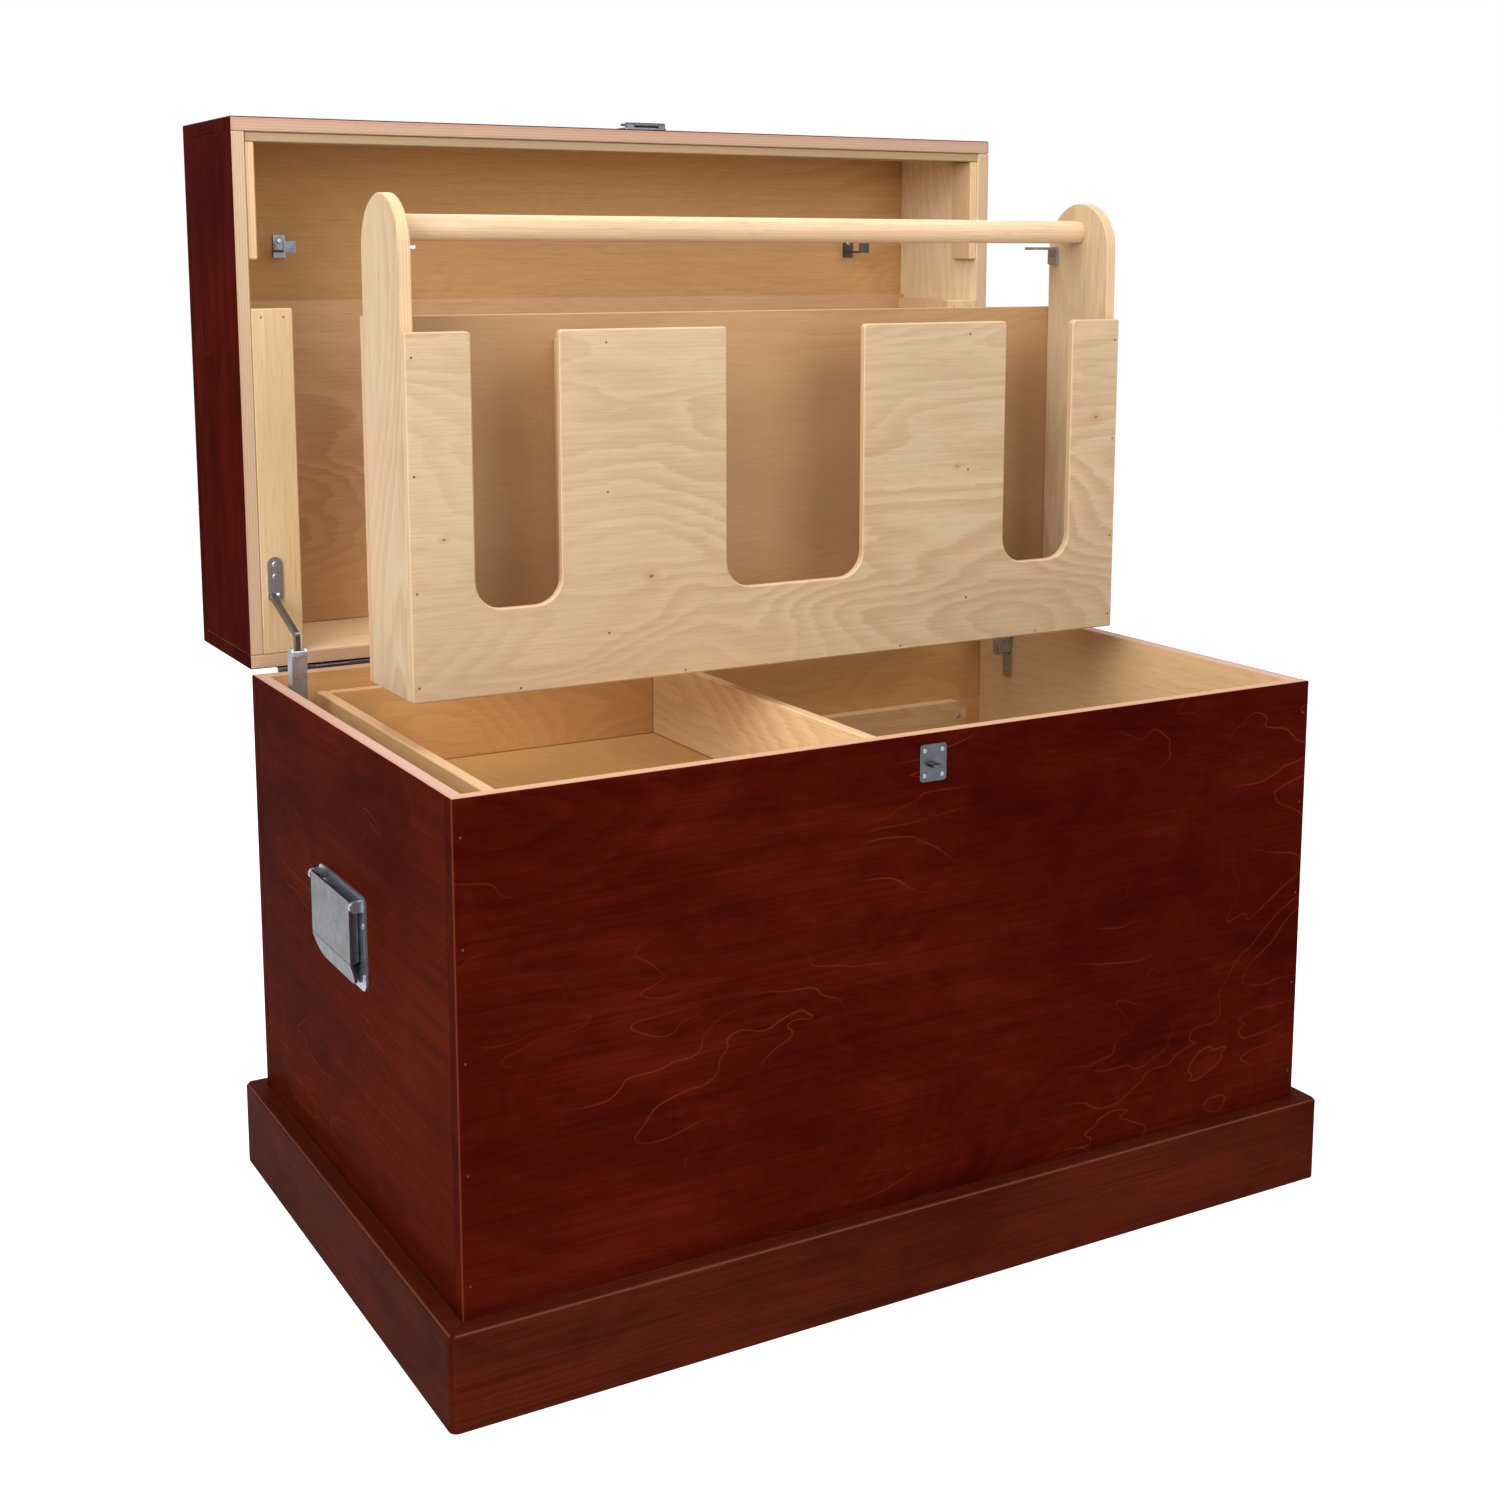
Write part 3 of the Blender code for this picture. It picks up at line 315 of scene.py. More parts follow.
def stain_colour(tree, board, dark, light, veined=0.21):
    """Red stain: it lies in blotches and streaks, and lets thin pale veins through."""
    figure = board.figure
    slow = ease(tree, figure["Tone"], low=0.28, high=0.72)
    thin = ease(tree, figure["Mottle"], low=0.44, high=0.70)
    thick = ease(tree, figure["Mottle"], low=0.50, high=0.32)
    streaks = ease(tree, figure["Streaks"], low=0.46, high=0.66)
    fibres = ease(tree, figure["Fibres"], low=0.40, high=0.68)
    veins = place_group(tree, stain_veins, Vector=board.grain)["Veins"]
    colour = blend(tree, slow, dark, light)
    for mask, share, over in (
        (thin, 0.30, shade(98, 28, 13)),
        (thick, 0.32, shade(40, 4, 2)),
        (streaks, 0.26, shade(40, 3, 2)),
        (fibres, 0.42, shade(44, 4, 3)),
        (figure["Bands"], 0.07, shade(112, 38, 16)),
        (veins, veined, shade(150, 68, 38)),
    ):
        colour = tint(tree, mask, share, colour, over)
    return colour


def finish_wood(tree, shader, figure, colour, rough, relief):
    """The colour, the roughness and the fine relief of the grain, put on the shader."""
    links = {"Strength": relief, "Distance": 0.0005, "Height": figure["Height"]}
    bump = add_node(tree, "Bump", links)
    tree.links.new(colour, shader.inputs["Base Color"])
    tree.links.new(rough, shader.inputs["Roughness"])
    tree.links.new(bump.outputs[0], shader.inputs["Normal"])


box_stain = (shade(56, 7, 4), shade(75, 17, 8))
birch_dark = shade(170, 120, 72)


def stained_wall(node, skin, rim, inside, edge,
                 strength=0.36, stain=box_stain, soak=0.6, sheen=0.0018):
    """Plywood stained and lacquered outside, bare inside, with a raw rim that took some stain."""
    wear_share, ply_share, bare_rougher = 0.5, 0.4, 0.24
    material, tree, shader = new_material("stained_" + node)
    board = lay_grain(tree, node, bands=34.0, run=3.0)
    figure = board.figure
    outside = place_group(tree, outer_skin, Vector=board.place, **skin)
    top = place_group(tree, outer_skin, Vector=board.place, **rim)
    stained = stain_colour(tree, board, *stain)
    worn = tint(tree, outside["Edge"], wear_share, stained, shade(150, 74, 48))
    bare = bare_colour(tree, figure, inside, birch_dark, strength)
    raw = tint(tree, board.plies["Ply"], ply_share, *edge)
    raw = tint(tree, outside["Soak"], soak, raw, shade(190, 132, 116))
    colour = blend(tree, top["Skin"], bare, raw)
    colour = blend(tree, outside["Skin"], colour, worn)
    lacquer = ease(tree, figure["Tone"], low=0.2, high=0.8, start=0.30, end=0.40)
    not_stained = calc(tree, "SUBTRACT", 1.0, outside["Skin"])
    rough = calc(tree, "MULTIPLY_ADD", not_stained, bare_rougher, lacquer)
    shader.inputs["Specular IOR Level"].default_value = sheen
    finish_wood(tree, shader, figure, colour, rough, relief=0.10)
    dress(node, material)


front_low, front_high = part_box("front_panel")
back_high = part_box("back_panel")[1]
half_width, rim_z = front_high.x, front_high.z
middle_y = (front_low.y + back_high.y) / 2
half_depth = back_high.y - middle_y
box_skin = {"Middle": (0.0, middle_y, 0.0), "Half": (half_width, half_depth, far)}
box_rim = {"Middle": (0.0, 0.0, rim_z - far), "Half": (far, far, far)}
box_edge = (shade(200, 164, 134), shade(180, 140, 108))
side_edge = (shade(198, 165, 148), shade(180, 143, 124))
side_look = {"stain": (shade(62, 14, 6), shade(84, 27, 11)), "sheen": 0.0011}
# The back wall's inside is painted darker as painted shade, and the right wall's inside lighter as
# painted light; the front and left walls share the plain bare colour.
stained_wall("front_panel", box_skin, box_rim, shade(226, 190, 142), box_edge)
stained_wall("back_panel", box_skin, box_rim, shade(214, 168, 112), box_edge)
stained_wall("left_panel", box_skin, box_rim, shade(226, 190, 142), side_edge, **side_look)
stained_wall("right_panel", box_skin, box_rim, shade(234, 200, 152), side_edge, **side_look)


# The floor of the box and the tray's two runners: bare birch plywood, the floor held in a groove of
# the walls and the runners glued and screwed to the front and back.
ply_pale, ply_dark = shade(218, 184, 145), shade(192, 152, 112)


def bare_board(node, pale, bands=34.0, run=3.0, strength=0.36, dark=birch_dark, sawn=0.8):
    """Bare plywood with plies on its sawn edges."""
    ply_share = 0.55
    material, tree, shader = new_material("bare_" + node)
    board = lay_grain(tree, node, bands, run)
    colour = bare_colour(tree, board.figure, pale, dark, strength)
    raw = tint(tree, board.plies["Ply"], ply_share, ply_pale, ply_dark)
    colour = tint(tree, board.plies["Sawn"], sawn, colour, raw)
    rough = ease(tree, board.figure["Tone"], low=0.2, high=0.8, start=0.46, end=0.60)
    shader.inputs["Specular IOR Level"].default_value = 0.3
    finish_wood(tree, shader, board.figure, colour, rough, relief=0.14)
    dress(node, material)
    return tree, shader, board.place, colour


bare_board("bottom_panel", shade(214, 172, 120))
for node in ("tray_runner_front", "tray_runner_back"):
    bare_board(node, shade(226, 190, 142))

# The plinth: four mitred boards round the foot of the box, stained as the walls are but a little
# browner and duller, with an eased upper edge that is rubbed pale and carries a painted highlight.
plinth_low, plinth_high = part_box("plinth_front")
plinth_half = (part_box("plinth_right")[1].x, middle_y - plinth_low.y, plinth_high.z)
plinth_skin = {"Middle": (0.0, middle_y, 0.0), "Half": plinth_half, "Depth": 0.0016}
plinth_stain = (shade(59, 20, 11), shade(78, 31, 18))
rub_and_highlight_share, rub_and_highlight_colour = 0.9, shade(205, 140, 118)
for node in ("plinth_front", "plinth_back", "plinth_left", "plinth_right"):
    material, tree, shader = new_material("stained_" + node)
    board = lay_grain(tree, node, bands=16.0, run=6.0)
    colour = stain_colour(tree, board, *plinth_stain, veined=0.06)
    edge_rub_and_highlight = place_group(tree, outer_skin, Vector=board.place, **plinth_skin)
    # The pale edge is partly real rubbing and partly a painted highlight along the eased edge.
    colour = tint(tree, edge_rub_and_highlight["Edge"], rub_and_highlight_share, colour, rub_and_highlight_colour)
    rough = ease(tree, board.figure["Tone"], low=0.2, high=0.8, start=0.30, end=0.42)
    shader.inputs["Specular IOR Level"].default_value = 0.003
    finish_wood(tree, shader, board.figure, colour, rough, relief=0.10)
    dress(node, material)

# The sliding tray: thin bare plywood, its ends nailed between the long sides over a flat bottom.
# Its boards carry painted light and shade: the right wall is painted lighter as painted light, and
# the left wall, back and bottom darker as painted shade.
bare_board("tray_left", shade(218, 178, 126), strength=0.28)
bare_board("tray_right", shade(248, 220, 172), strength=0.24)
bare_board("tray_front", shade(236, 196, 140), strength=0.28)
bare_board("tray_back", shade(220, 172, 110), strength=0.28)
bare_board("tray_bottom", shade(208, 162, 102), strength=0.24)

# The lid: a shallow box of the same stained plywood, open at its rim and bare inside. Inside, the
# panel is painted darker as painted shade, and the sides lighter as painted light. Its upper rim
# took the most stain.
lid_low, lid_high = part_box("lid_top_panel")
lid_rim_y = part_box("lid_back_rail")[0].y
lid_middle = (0.0, lid_high.y - far, (lid_low.z + lid_high.z) / 2)
lid_half = (half_width, far, (lid_high.z - lid_low.z) / 2)
lid_skin = {"Middle": lid_middle, "Half": lid_half}
lid_rim = {"Middle": (0.0, lid_rim_y + far, 0.0), "Half": (far, far, far)}
upper_edge = (shade(192, 160, 138), shade(168, 132, 108))
lower_edge = (shade(200, 172, 142), shade(178, 146, 114))
upper_look = {"edge": upper_edge, "sheen": 0.0006}
lower_look = {"edge": lower_edge, "sheen": 0.0006, "soak": 0.25}
# The panel's inside colour is painted shade and the sides' inside colour is painted light.
panel_painted_shade, rail_bare, sides_painted_light = shade(214, 170, 116), shade(236, 204, 162), shade(250, 228, 190)
stained_wall("lid_top_panel", lid_skin, lid_rim, panel_painted_shade, **upper_look)
stained_wall("lid_front_rail", lid_skin, lid_rim, rail_bare, strength=0.18, **upper_look)
stained_wall("lid_back_rail", lid_skin, lid_rim, rail_bare, strength=0.18, **lower_look)
for node in ("lid_left_side", "lid_right_side"):
    stained_wall(node, lid_skin, lid_rim, sides_painted_light, strength=0.14, **lower_look)

# The lining of the lid: a liner over the lower part of the panel, a side liner and a stay board at
# each side, and thin cleats under the upper rim. All are bare plywood, glued and pinned.
straight_grain = {"bands": 14.0, "run": 6.0, "strength": 0.35}
bare_board("lid_liner", shade(220, 178, 132))
for side in ("left", "right"):
    bare_board("lid_side_liner_" + side, shade(236, 204, 162), strength=0.14)
    bare_board("lid_stay_board_" + side, shade(226, 196, 153), **straight_grain)
    bare_board("lid_cleat_" + side, shade(226, 196, 153), **straight_grain)
# The top cleat is painted far darker than the side cleats, with faint plies, as painted shade under
# the upper rim.
bare_board("lid_cleat_top", shade(162, 141, 106), sawn=0.15, **straight_grain)

# The grooming tote: birch plywood, glued and pinned, with a lively figure on its front, pale sawn
# edges round the cut-outs, and a few small brown knots in the face ply.
tote_front_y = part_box("tote_front")[0].y
knots = (
    {"x": -0.1682, "z": 0.6776, "size": 0.0030},
    {"x": 0.3883, "z": 0.8142, "size": 0.0026},
    {"x": -0.3850, "z": 0.7287, "size": 0.0018},
    {"x": 0.2006, "z": 0.7683, "size": 0.0016},
)
ring_share, ring_colour = 0.35, shade(168, 120, 78)
eye_share, eye_colour = 0.8, shade(96, 58, 32)


def make_knot():
    """A small knot in the face ply: a dark eye with a softer ring round it."""
    group, take, give = new_group(
        "pin_knot",
        [("Vector", "Vector", (0, 0, 0)), ("Middle", "Vector", (0, 0, 0)),
         ("Size", "Float", 0.003)],
        ("Eye", "Ring"),
    )
    raggedness, pulled_in = 0.0030, 0.0012
    offset = vector_calc(group, "SUBTRACT", take["Vector"], take["Middle"])["Vector"]
    long = drawn_out(group, offset, along=0.6, across=1.0)
    length = vector_calc(group, "LENGTH", long)["Value"]
    ragged = cloud(group, take["Vector"], scale=420.0)
    apart = calc(group, "MULTIPLY_ADD", ragged, raggedness, length)
    apart = calc(group, "SUBTRACT", apart, pulled_in)
    apart = calc(group, "DIVIDE", apart, take["Size"])
    eye = ease(group, apart, low=0.35, high=0.9, start=1.0, end=0.0)
    ring = ease(group, apart, low=0.8, high=3.4, start=1.0, end=0.0)
    group.links.new(eye, give["Eye"])
    group.links.new(ring, give["Ring"])
    return group


pin_knot = make_knot()
tote_figure = {"bands": 26.0, "run": 2.4, "strength": 0.42, "dark": shade(166, 124, 84)}
tree, shader, place, colour = bare_board("tote_front", shade(204, 178, 144), **tote_figure)
for knot in knots:
    middle = (knot["x"], tote_front_y, knot["z"])
    marks = place_group(tree, pin_knot, Vector=place, Middle=middle, Size=knot["size"])
    colour = tint(tree, marks["Ring"], ring_share, colour, ring_colour)
    colour = tint(tree, marks["Eye"], eye_share, colour, eye_colour)
tree.links.new(colour, shader.inputs["Base Color"])
bare_board("tote_back", shade(192, 152, 110), bands=40.0, run=3.4)
bare_board("tote_bottom", shade(222, 188, 146))
for side in ("left", "right"):
    bare_board("tote_end_" + side, shade(216, 190, 155), bands=26.0, run=4.0, strength=0.38)
    bare_board("tote_divider_" + side, shade(220, 186, 144))

# The tote's handle: a turned birch dowel let into a blind hole in each end.
# It is straight-grained and shows no plies.
bare_board("tote_dowel", shade(232, 200, 164), bands=12.0, run=9.0, strength=0.4, sawn=0.0)


# The hardware: plated steel pressed from sheet, with fine rolling lines, faint smears and duller
# patches. The handle grips are a greyer zinc plate, and the hasp, keeper and hooks are darker.
# The stay links take the greyer plate and the hinge the darker one as painted shade.
def plated_steel(name, tone, rough, metal=1.0):
    """Plated sheet steel of one tone."""
    rolling = (1500.0, 1500.0, 60.0)
    smear_rough, line_rough, half_spread = 0.18, 0.12, 0.14
    material, tree, shader = new_material(name)
    place = add_node(tree, "TexCoord").outputs["Object"]
    rolled = vector_calc(tree, "MULTIPLY", place, rolling)["Vector"]
    lines = cloud(tree, rolled, detail=3.0, roughness=0.6)
    smears = cloud(tree, place, scale=90.0, detail=3.0, roughness=0.6)
    patches = ease(tree, smears, low=0.35, high=0.72)
    colour = blend(tree, patches, tone, dimmed(tone, share=0.74))
    spread = calc(tree, "MULTIPLY_ADD", smears, smear_rough, rough - half_spread)
    spread = calc(tree, "MULTIPLY_ADD", lines, line_rough, spread)
    bump = add_node(tree, "Bump", {"Strength": 0.10, "Distance": 0.0002, "Height": lines})
    shader.inputs["Metallic"].default_value = metal
    tree.links.new(colour, shader.inputs["Base Color"])
    tree.links.new(spread, shader.inputs["Roughness"])
    tree.links.new(bump.outputs[0], shader.inputs["Normal"])
    return material


bright_plate = plated_steel("bright_plate", shade(184, 194, 206), rough=0.24, metal=0.84)
grey_plate = plated_steel("grey_plate", shade(116, 119, 124), rough=0.30)
dark_plate = plated_steel("dark_plate", shade(104, 108, 114), rough=0.24)
# The hinge is dressed in the darker plate as painted shade in the gap under the lid.
for node in ("hinge_leaf_trunk", "hinge_leaf_lid", "hinge_pin"):
    dress(node, dark_plate)
for node in ("hasp_plate", "hasp_flap", "keeper"):
    dress(node, dark_plate)
for side in ("left", "right"):
    for piece in ("stay_body_", "stay_arm_", "stay_plate_", "tote_catch_", "handle_plate_"):
        dress(piece + side, bright_plate)
    # The stay links take the greyer plate as painted shade; the handle grips are that plate's own
    # grey.
    for piece in ("stay_link_", "handle_grip_"):
        dress(piece + side, grey_plate)
    dress("lid_hook_" + side, dark_plate)


# The screws: small pan-head screws of bright plated steel with a cross recess. One is modelled
# with a radius of 1, then copied at its size to every hole of the hinge, stays, hooks, catches,
# handles, hasp, keeper and runners.
def pick_top(model, upright=0.9):
    """Leaves the model in edit mode with only its top face selected."""
    bpy.ops.object.mode_set(mode="EDIT")
    bpy.ops.mesh.select_mode(type="FACE")
    bpy.ops.mesh.select_all(action="DESELECT")
    bpy.ops.object.mode_set(mode="OBJECT")
    for face in model.data.polygons:
        face.select = face.normal.z > upright
    bpy.ops.object.mode_set(mode="EDIT")


origin = (0.0, 0.0, 0.0)
bpy.ops.object.select_all(action="DESELECT")
bpy.ops.mesh.primitive_cylinder_add(vertices=20, radius=1.0, depth=0.5, location=origin)
screw_model = bpy.context.object
pick_top(screw_model)
for margin, rise in ((0.16, 0.10), (0.30, 0.05)):
    bpy.ops.mesh.inset(thickness=margin)
    bpy.ops.transform.translate(value=(0.0, 0.0, rise))
bpy.ops.object.mode_set(mode="OBJECT")
recess_height, recess_size = 0.37, (1.15, 0.24, 0.44)
for turn in (0.0, 90.0):
    bpy.ops.object.select_all(action="DESELECT")
    bpy.ops.mesh.primitive_cube_add(size=1.0, location=(0.0, 0.0, recess_height))
    cutter = bpy.context.object
    cutter.scale = recess_size
    cutter.rotation_euler.z = radians(turn)
    bpy.ops.object.transform_apply(location=True, rotation=True, scale=True)
    bpy.ops.object.select_all(action="DESELECT")
    screw_model.select_set(True)
    bpy.context.view_layer.objects.active = screw_model
    cut = screw_model.modifiers.new("recess", "BOOLEAN")
    cut.operation, cut.object, cut.solver = "DIFFERENCE", cutter, "EXACT"
    bpy.ops.object.modifier_apply(modifier=cut.name)
    bpy.data.objects.remove(cutter)
left, right = (-1, 0, 0), (1, 0, 0)
front, back = (0, -1, 0), (0, 1, 0)
up, down = (0, 0, 1), (0, 0, -1)


def fasten(name, model, body, radius, spots, finish=bright_plate):
    """Copies of a fastener, each stood on its face, joined as one piece that rides on a body."""
    copies = []
    for place, way in spots:
        copy = model.copy()
        copy.data = model.data.copy()
        turn = Vector(up).rotation_difference(Vector(way)).to_matrix().to_4x4()
        copy.data.transform(Matrix.Translation(place) @ turn @ Matrix.Scale(radius, 4))
        bpy.context.scene.collection.objects.link(copy)
        copies.append(copy)
    bpy.ops.object.select_all(action="DESELECT")
    for copy in copies:
        copy.select_set(True)
    bpy.context.view_layer.objects.active = copies[0]
    bpy.ops.object.join()
    piece = bpy.context.object
    piece.name = name
    piece.data.name = name
    piece.data.materials.clear()
    piece.data.materials.append(finish)
    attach(piece, body)


# The hinge's screws: nine along each leaf, set in from its free edge.
# The heads on the trunk's leaf face the back, and those on the lid's leaf face down.
hinge_pitch, leaf_sheet, leaf_margin = 0.104, 0.0012, 0.010
hinge_places = [hinge_pitch * step for step in range(-4, 5)]
leaf_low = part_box("hinge_leaf_trunk")[0]
y, z = leaf_low.y + leaf_sheet, leaf_low.z + leaf_margin
spots = [((x, y, z), back) for x in hinge_places]
fasten("hinge_screws_trunk", screw_model, "trunk", radius=0.0030, spots=spots)
leaf_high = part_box("hinge_leaf_lid")[1]
y, z = leaf_high.y - leaf_margin, leaf_high.z - leaf_sheet
spots = [((x, y, z), down) for x in hinge_places]
fasten("hinge_screws_lid", screw_model, "lid", radius=0.0030, spots=spots)

# The screws at each side: two in a stay's plate, one in its body, one in a hook and in a catch,
# and four in the plate of a chest handle. Each sits on the sheet of its piece.
plate_screws, body_screws, hook_screws, catch_screws, handle_screws = [], [], [], [], []
stay_sheet, hook_sheet, catch_sheet, handle_sheet = 0.002, 0.0025, 0.003, 0.0025
plate_drops, body_rise, hook_drop, catch_rise = (0.008, 0.021), 0.008, 0.007, 0.007
handle_margin, handle_rises = 0.0055, (0.014, 0.064)
for side, inward, outward in (("left", right, left), ("right", left, right)):
    low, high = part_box("stay_plate_" + side)
    x, y = (low.x + high.x) / 2, high.y - stay_sheet
    plate_screws += [((x, y, high.z - drop), front) for drop in plate_drops]
    low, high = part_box("stay_body_" + side)
    x = low.x + stay_sheet if side == "left" else high.x - stay_sheet
    body_screws.append(((x, (low.y + high.y) / 2, low.z + body_rise), inward))
    low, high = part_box("lid_hook_" + side)
    x, y = (low.x + high.x) / 2, high.y - hook_sheet
    hook_screws.append(((x, y, high.z - hook_drop), front))
    low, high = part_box("tote_catch_" + side)
    x = low.x + catch_sheet if side == "left" else high.x - catch_sheet
    catch_screws.append(((x, (low.y + high.y) / 2, low.z + catch_rise), inward))
    low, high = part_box("handle_plate_" + side)
    x = high.x - handle_sheet if side == "left" else low.x + handle_sheet
    for y in (low.y + handle_margin, high.y - handle_margin):
        handle_screws += [((x, y, low.z + rise), outward) for rise in handle_rises]
fasten("stay_plate_screws", screw_model, "lid", radius=0.0031, spots=plate_screws)
fasten("stay_body_screws", screw_model, "trunk", radius=0.0030, spots=body_screws)
fasten("hook_screws", screw_model, "lid", radius=0.0028, spots=hook_screws)
fasten("catch_screws", screw_model, "tote", radius=0.0028, spots=catch_screws)
fasten("handle_screws", screw_model, "trunk", radius=0.0031, spots=handle_screws)

# The screws of the hasp, its keeper and the tray's runners: two in the hasp's plate on the lid,
# four at the keeper's corners, and five along each runner, into the wall behind it.
hasp_sheet, hasp_half, hasp_margin = 0.0018, 0.0205, 0.007
low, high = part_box("hasp_plate")
y, z = high.y - hasp_margin, low.z + hasp_sheet
spots = [((x, y, z), up) for x in (-hasp_half, hasp_half)]
fasten("hasp_screws", screw_model, "lid", radius=0.0026, spots=spots)
keeper_sheet, keeper_half, keeper_margin = 0.0009, 0.0100, 0.006
low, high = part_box("keeper")
y, heights = high.y - keeper_sheet, (low.z + keeper_margin, high.z - keeper_margin)
spots = [((x, y, z), front) for x in (-keeper_half, keeper_half) for z in heights]
fasten("keeper_screws", screw_model, "trunk", radius=0.0021, spots=spots)
runner_pitch = 0.21
runner_places = [runner_pitch * step for step in range(-2, 3)]
spots = []
for node, way in (("tray_runner_front", back), ("tray_runner_back", front)):
    low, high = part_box(node)
    y, z = high.y if way == back else low.y, (low.z + high.z) / 2
    spots += [((x, y, z), way) for x in runner_places]
fasten("runner_screws", screw_model, "trunk", radius=0.0034, spots=spots)
bpy.data.objects.remove(screw_model)

# The pins: finishing nails driven almost flush, each with a small dark dished head. They show on
# the tote's front, at the heads of the stay boards and down the corners of the box.
bpy.ops.object.select_all(action="DESELECT")
bpy.ops.mesh.primitive_cylinder_add(vertices=12, radius=1.0, depth=0.36, location=origin)
pin_model = bpy.context.object
pick_top(pin_model)
bpy.ops.mesh.inset(thickness=0.3)
bpy.ops.transform.translate(value=(0.0, 0.0, -0.14))
bpy.ops.object.mode_set(mode="OBJECT")


def pin_finish(name, light, dark):
    """A dull spotted nail head."""
    material, tree, shader = new_material(name)
    place = add_node(tree, "TexCoord").outputs["Object"]
    specks = cloud(tree, place, scale=900.0, detail=3.0, roughness=0.6)
    colour = blend(tree, ease(tree, specks, low=0.35, high=0.7), light, dark)
    rough = ease(tree, specks, low=0.3, high=0.7, start=0.42, end=0.68)
    tree.links.new(colour, shader.inputs["Base Color"])
    tree.links.new(rough, shader.inputs["Roughness"])
    return material


pin_head = pin_finish("dark_pin_head", shade(124, 84, 52), shade(74, 46, 28))
stained_head = pin_finish("stained_pin_head", shade(88, 26, 14), shade(46, 6, 4))
end_margin, end_rises = 0.006, (0.015, 0.105, 0.215, 0.325)
half_divider, divider_rises = 0.0045, (0.05, 0.19, 0.335)
bottom_rise, bottom_places = 0.0045, (0.31, 0.13)
low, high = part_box("tote_front")
end_x = high.x - end_margin
divider_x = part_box("tote_divider_right")[0].x + half_divider
spots = []
for side in (-1, 1):
    spots += [((side * end_x, low.y, low.z + rise), front) for rise in end_rises]
    spots += [((side * divider_x, low.y, low.z + rise), front) for rise in divider_rises]
    spots += [((side * x, low.y, low.z + bottom_rise), front) for x in bottom_places]
fasten("tote_pins", pin_model, "tote", radius=0.0012, spots=spots, finish=pin_head)
board_margin, board_drop = 0.010, 0.009
spots = []
for side in ("left", "right"):
    low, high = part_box("lid_stay_board_" + side)
    for x in (low.x + board_margin, high.x - board_margin):
        spots.append(((x, low.y, high.z - board_drop), front))
fasten("stay_board_pins", pin_model, "lid", radius=0.0011, spots=spots, finish=pin_head)
corner_margin, corner_heights = 0.0075, (0.12, 0.22, 0.32, 0.42, 0.517)
corner_x = half_width - corner_margin
spots = []
for y, way in ((front_low.y, front), (back_high.y, back)):
    for x in (-corner_x, corner_x):
        spots += [((x, y, z), way) for z in corner_heights]
fasten("corner_pins", pin_model, "trunk", radius=0.0012, spots=spots, finish=stained_head)
bpy.data.objects.remove(pin_model)

# The studio: a wide pale floor that stays white and keeps the soft shadow, and a white surround.
# One large soft lamp stands on the left, with others in front, above and behind.
white = (1.0, 1.0, 1.0, 1.0)
floor_size, floor_drop = 80.0, 0.0005
floor_glow, mirrored_glow = 0.48, 0.20
floor_seen, floor_unseen = (0.70, 0.70, 0.70, 1.0), (0.75, 0.75, 0.75, 1.0)
ambient = 0.46


def seen_rays(tree):
    """Camera rays alone, and all the rays that show the background: camera, glossy and clear."""
    path = add_node(tree, "LightPath").outputs
    shown = calc(tree, "MAXIMUM", path["Is Glossy Ray"], path["Is Transmission Ray"])
    return path["Is Camera Ray"], calc(tree, "MAXIMUM", path["Is Camera Ray"], shown)


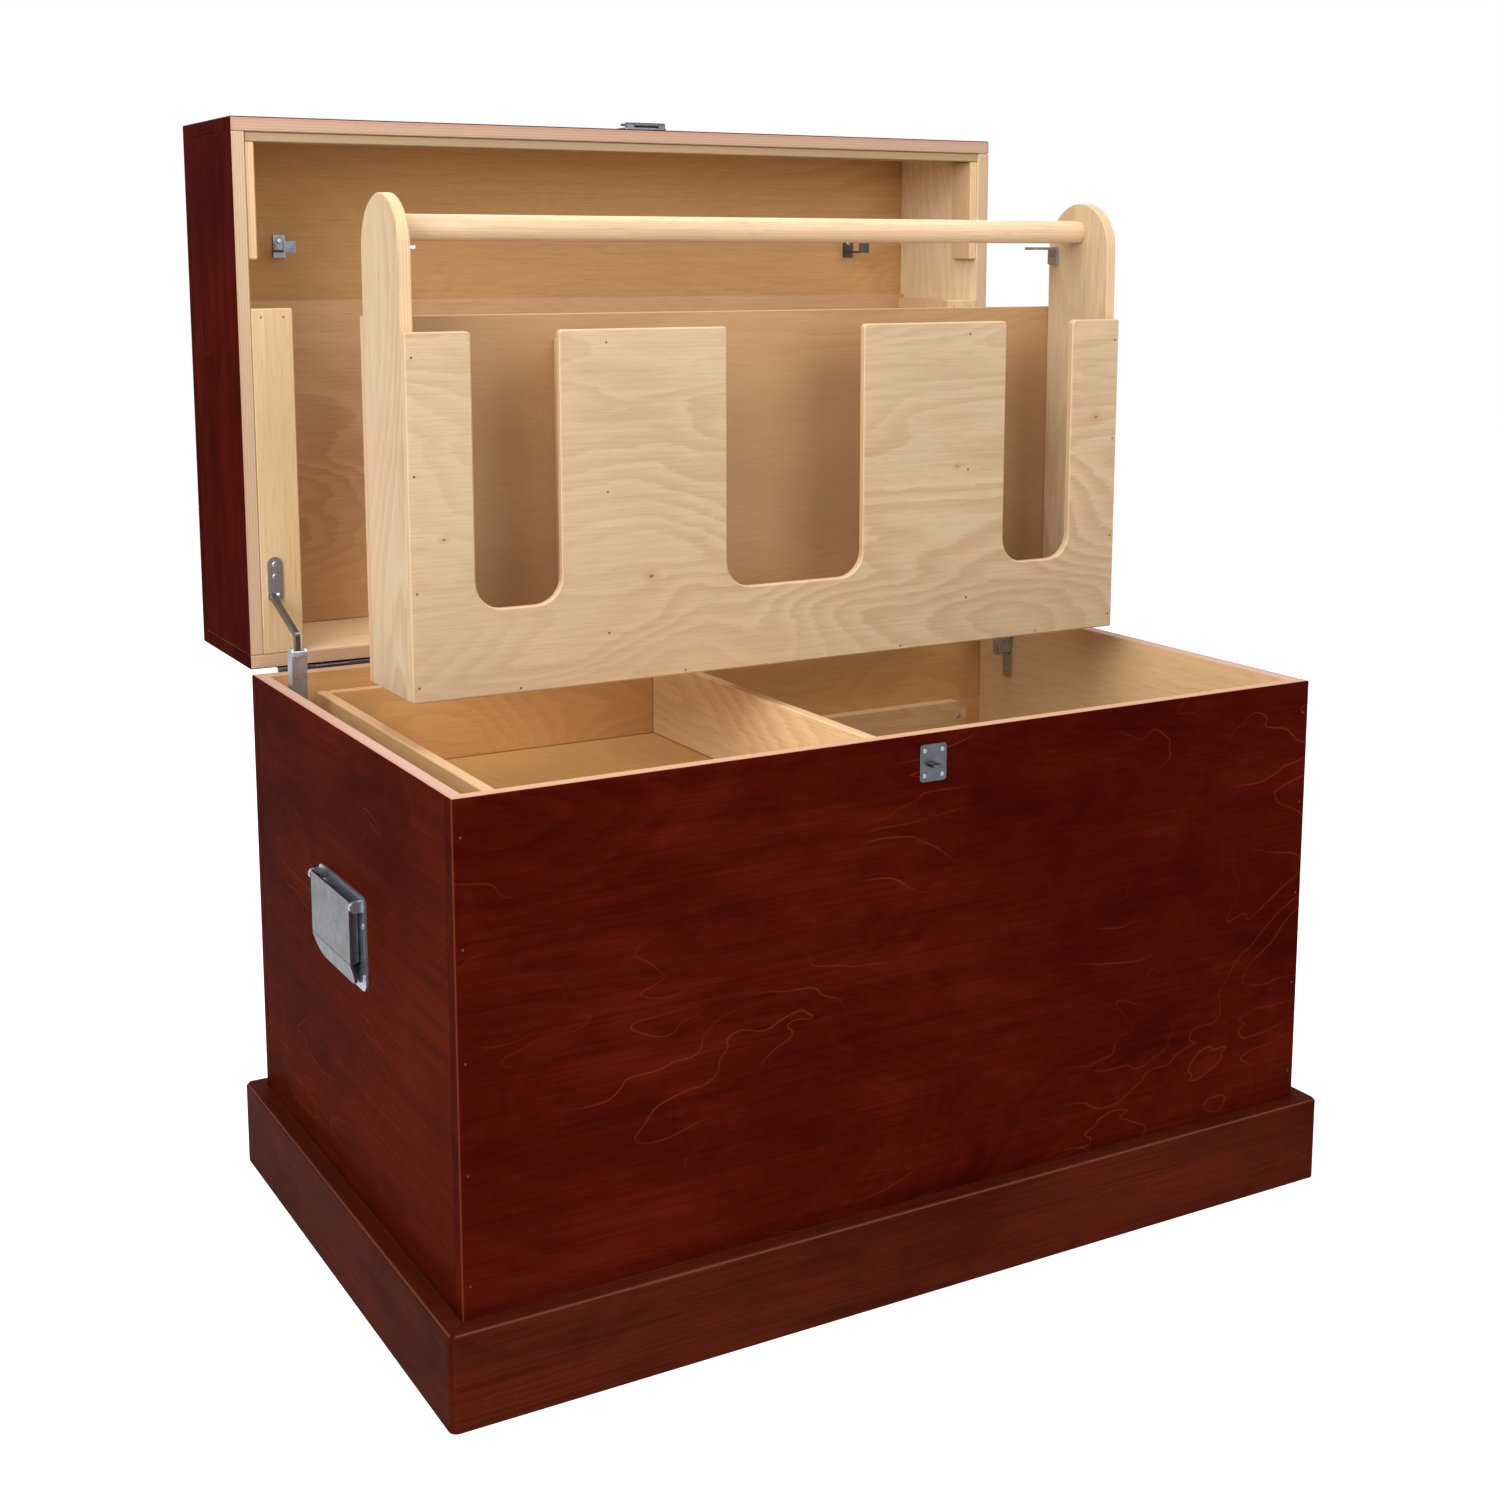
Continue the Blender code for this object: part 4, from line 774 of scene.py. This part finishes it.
bpy.ops.object.select_all(action="DESELECT")
bpy.ops.mesh.primitive_plane_add(size=floor_size, location=(0.0, 0.0, -floor_drop))
floor = bpy.context.object
floor.name = "studio_floor"
material, tree, shader = new_material("pale_floor")
tree.nodes.remove(shader)
direct, seen = seen_rays(tree)
level = calc(tree, "MULTIPLY_ADD", direct, floor_glow, mirrored_glow)
glow = add_node(tree, "Emission", {"Color": white, "Strength": level}).outputs[0]
plain = add_node(tree, "BsdfDiffuse", {"Color": floor_unseen}).outputs[0]
shaded = add_node(tree, "BsdfDiffuse", {"Color": floor_seen}).outputs[0]
lit = add_node(tree, "AddShader", {0: glow, 1: shaded}).outputs[0]
either = add_node(tree, "MixShader", {0: seen, 1: plain, 2: lit}).outputs[0]
tree.links.new(either, tree.nodes["Material Output"].inputs["Surface"])
floor.data.materials.append(material)

world = bpy.data.worlds.new("studio")
bpy.context.scene.world = world
world.use_nodes = True
tree = world.node_tree
seen = seen_rays(tree)[1]
level = calc(tree, "MULTIPLY_ADD", seen, 1.0 - ambient, ambient)
surround = tree.nodes["Background"]
surround.inputs["Color"].default_value = white
tree.links.new(level, surround.inputs["Strength"])


def soft_lamp(name, place, aim_height, width, power):
    """A square soft lamp turned to the middle of the trunk."""
    data = bpy.data.lights.new(name, "AREA")
    data.size = width
    data.energy = power
    lamp = bpy.data.objects.new(name, data)
    bpy.context.scene.collection.objects.link(lamp)
    lamp.location = place
    way = Vector((0.0, 0.0, aim_height)) - Vector(place)
    lamp.rotation_euler = way.to_track_quat("-Z", "Y").to_euler()


soft_lamp("key_lamp", (-2.2, -1.5, 1.9), aim_height=0.6, width=1.6, power=51.0)
soft_lamp("front_lamp", (0.6, -3.2, 1.7), aim_height=0.6, width=2.0, power=38.0)
soft_lamp("top_lamp", (-0.5, -0.4, 3.2), aim_height=0.4, width=2.0, power=52.0)
soft_lamp("back_lamp", (1.2, 2.6, 2.6), aim_height=0.6, width=2.0, power=36.0)

# The camera: it stands before the left front corner, at the height of the open lid, and looks a
# little down. A small shift of the lens keeps the upright lines nearly parallel.
pitch_down, turned_right = 8.793, 29.574
lens = bpy.data.cameras.new("photo_camera")
lens.sensor_width = 36.0
lens.lens = 48.53
lens.shift_y = -0.12
camera = bpy.data.objects.new("photo_camera", lens)
bpy.context.scene.collection.objects.link(camera)
camera.location = (-1.0621, -1.9014, 0.9907)
camera.rotation_euler = (radians(90 - pitch_down), 0.0, radians(-turned_right))
bpy.context.scene.camera = camera
bpy.context.scene.view_settings.view_transform = "Standard"
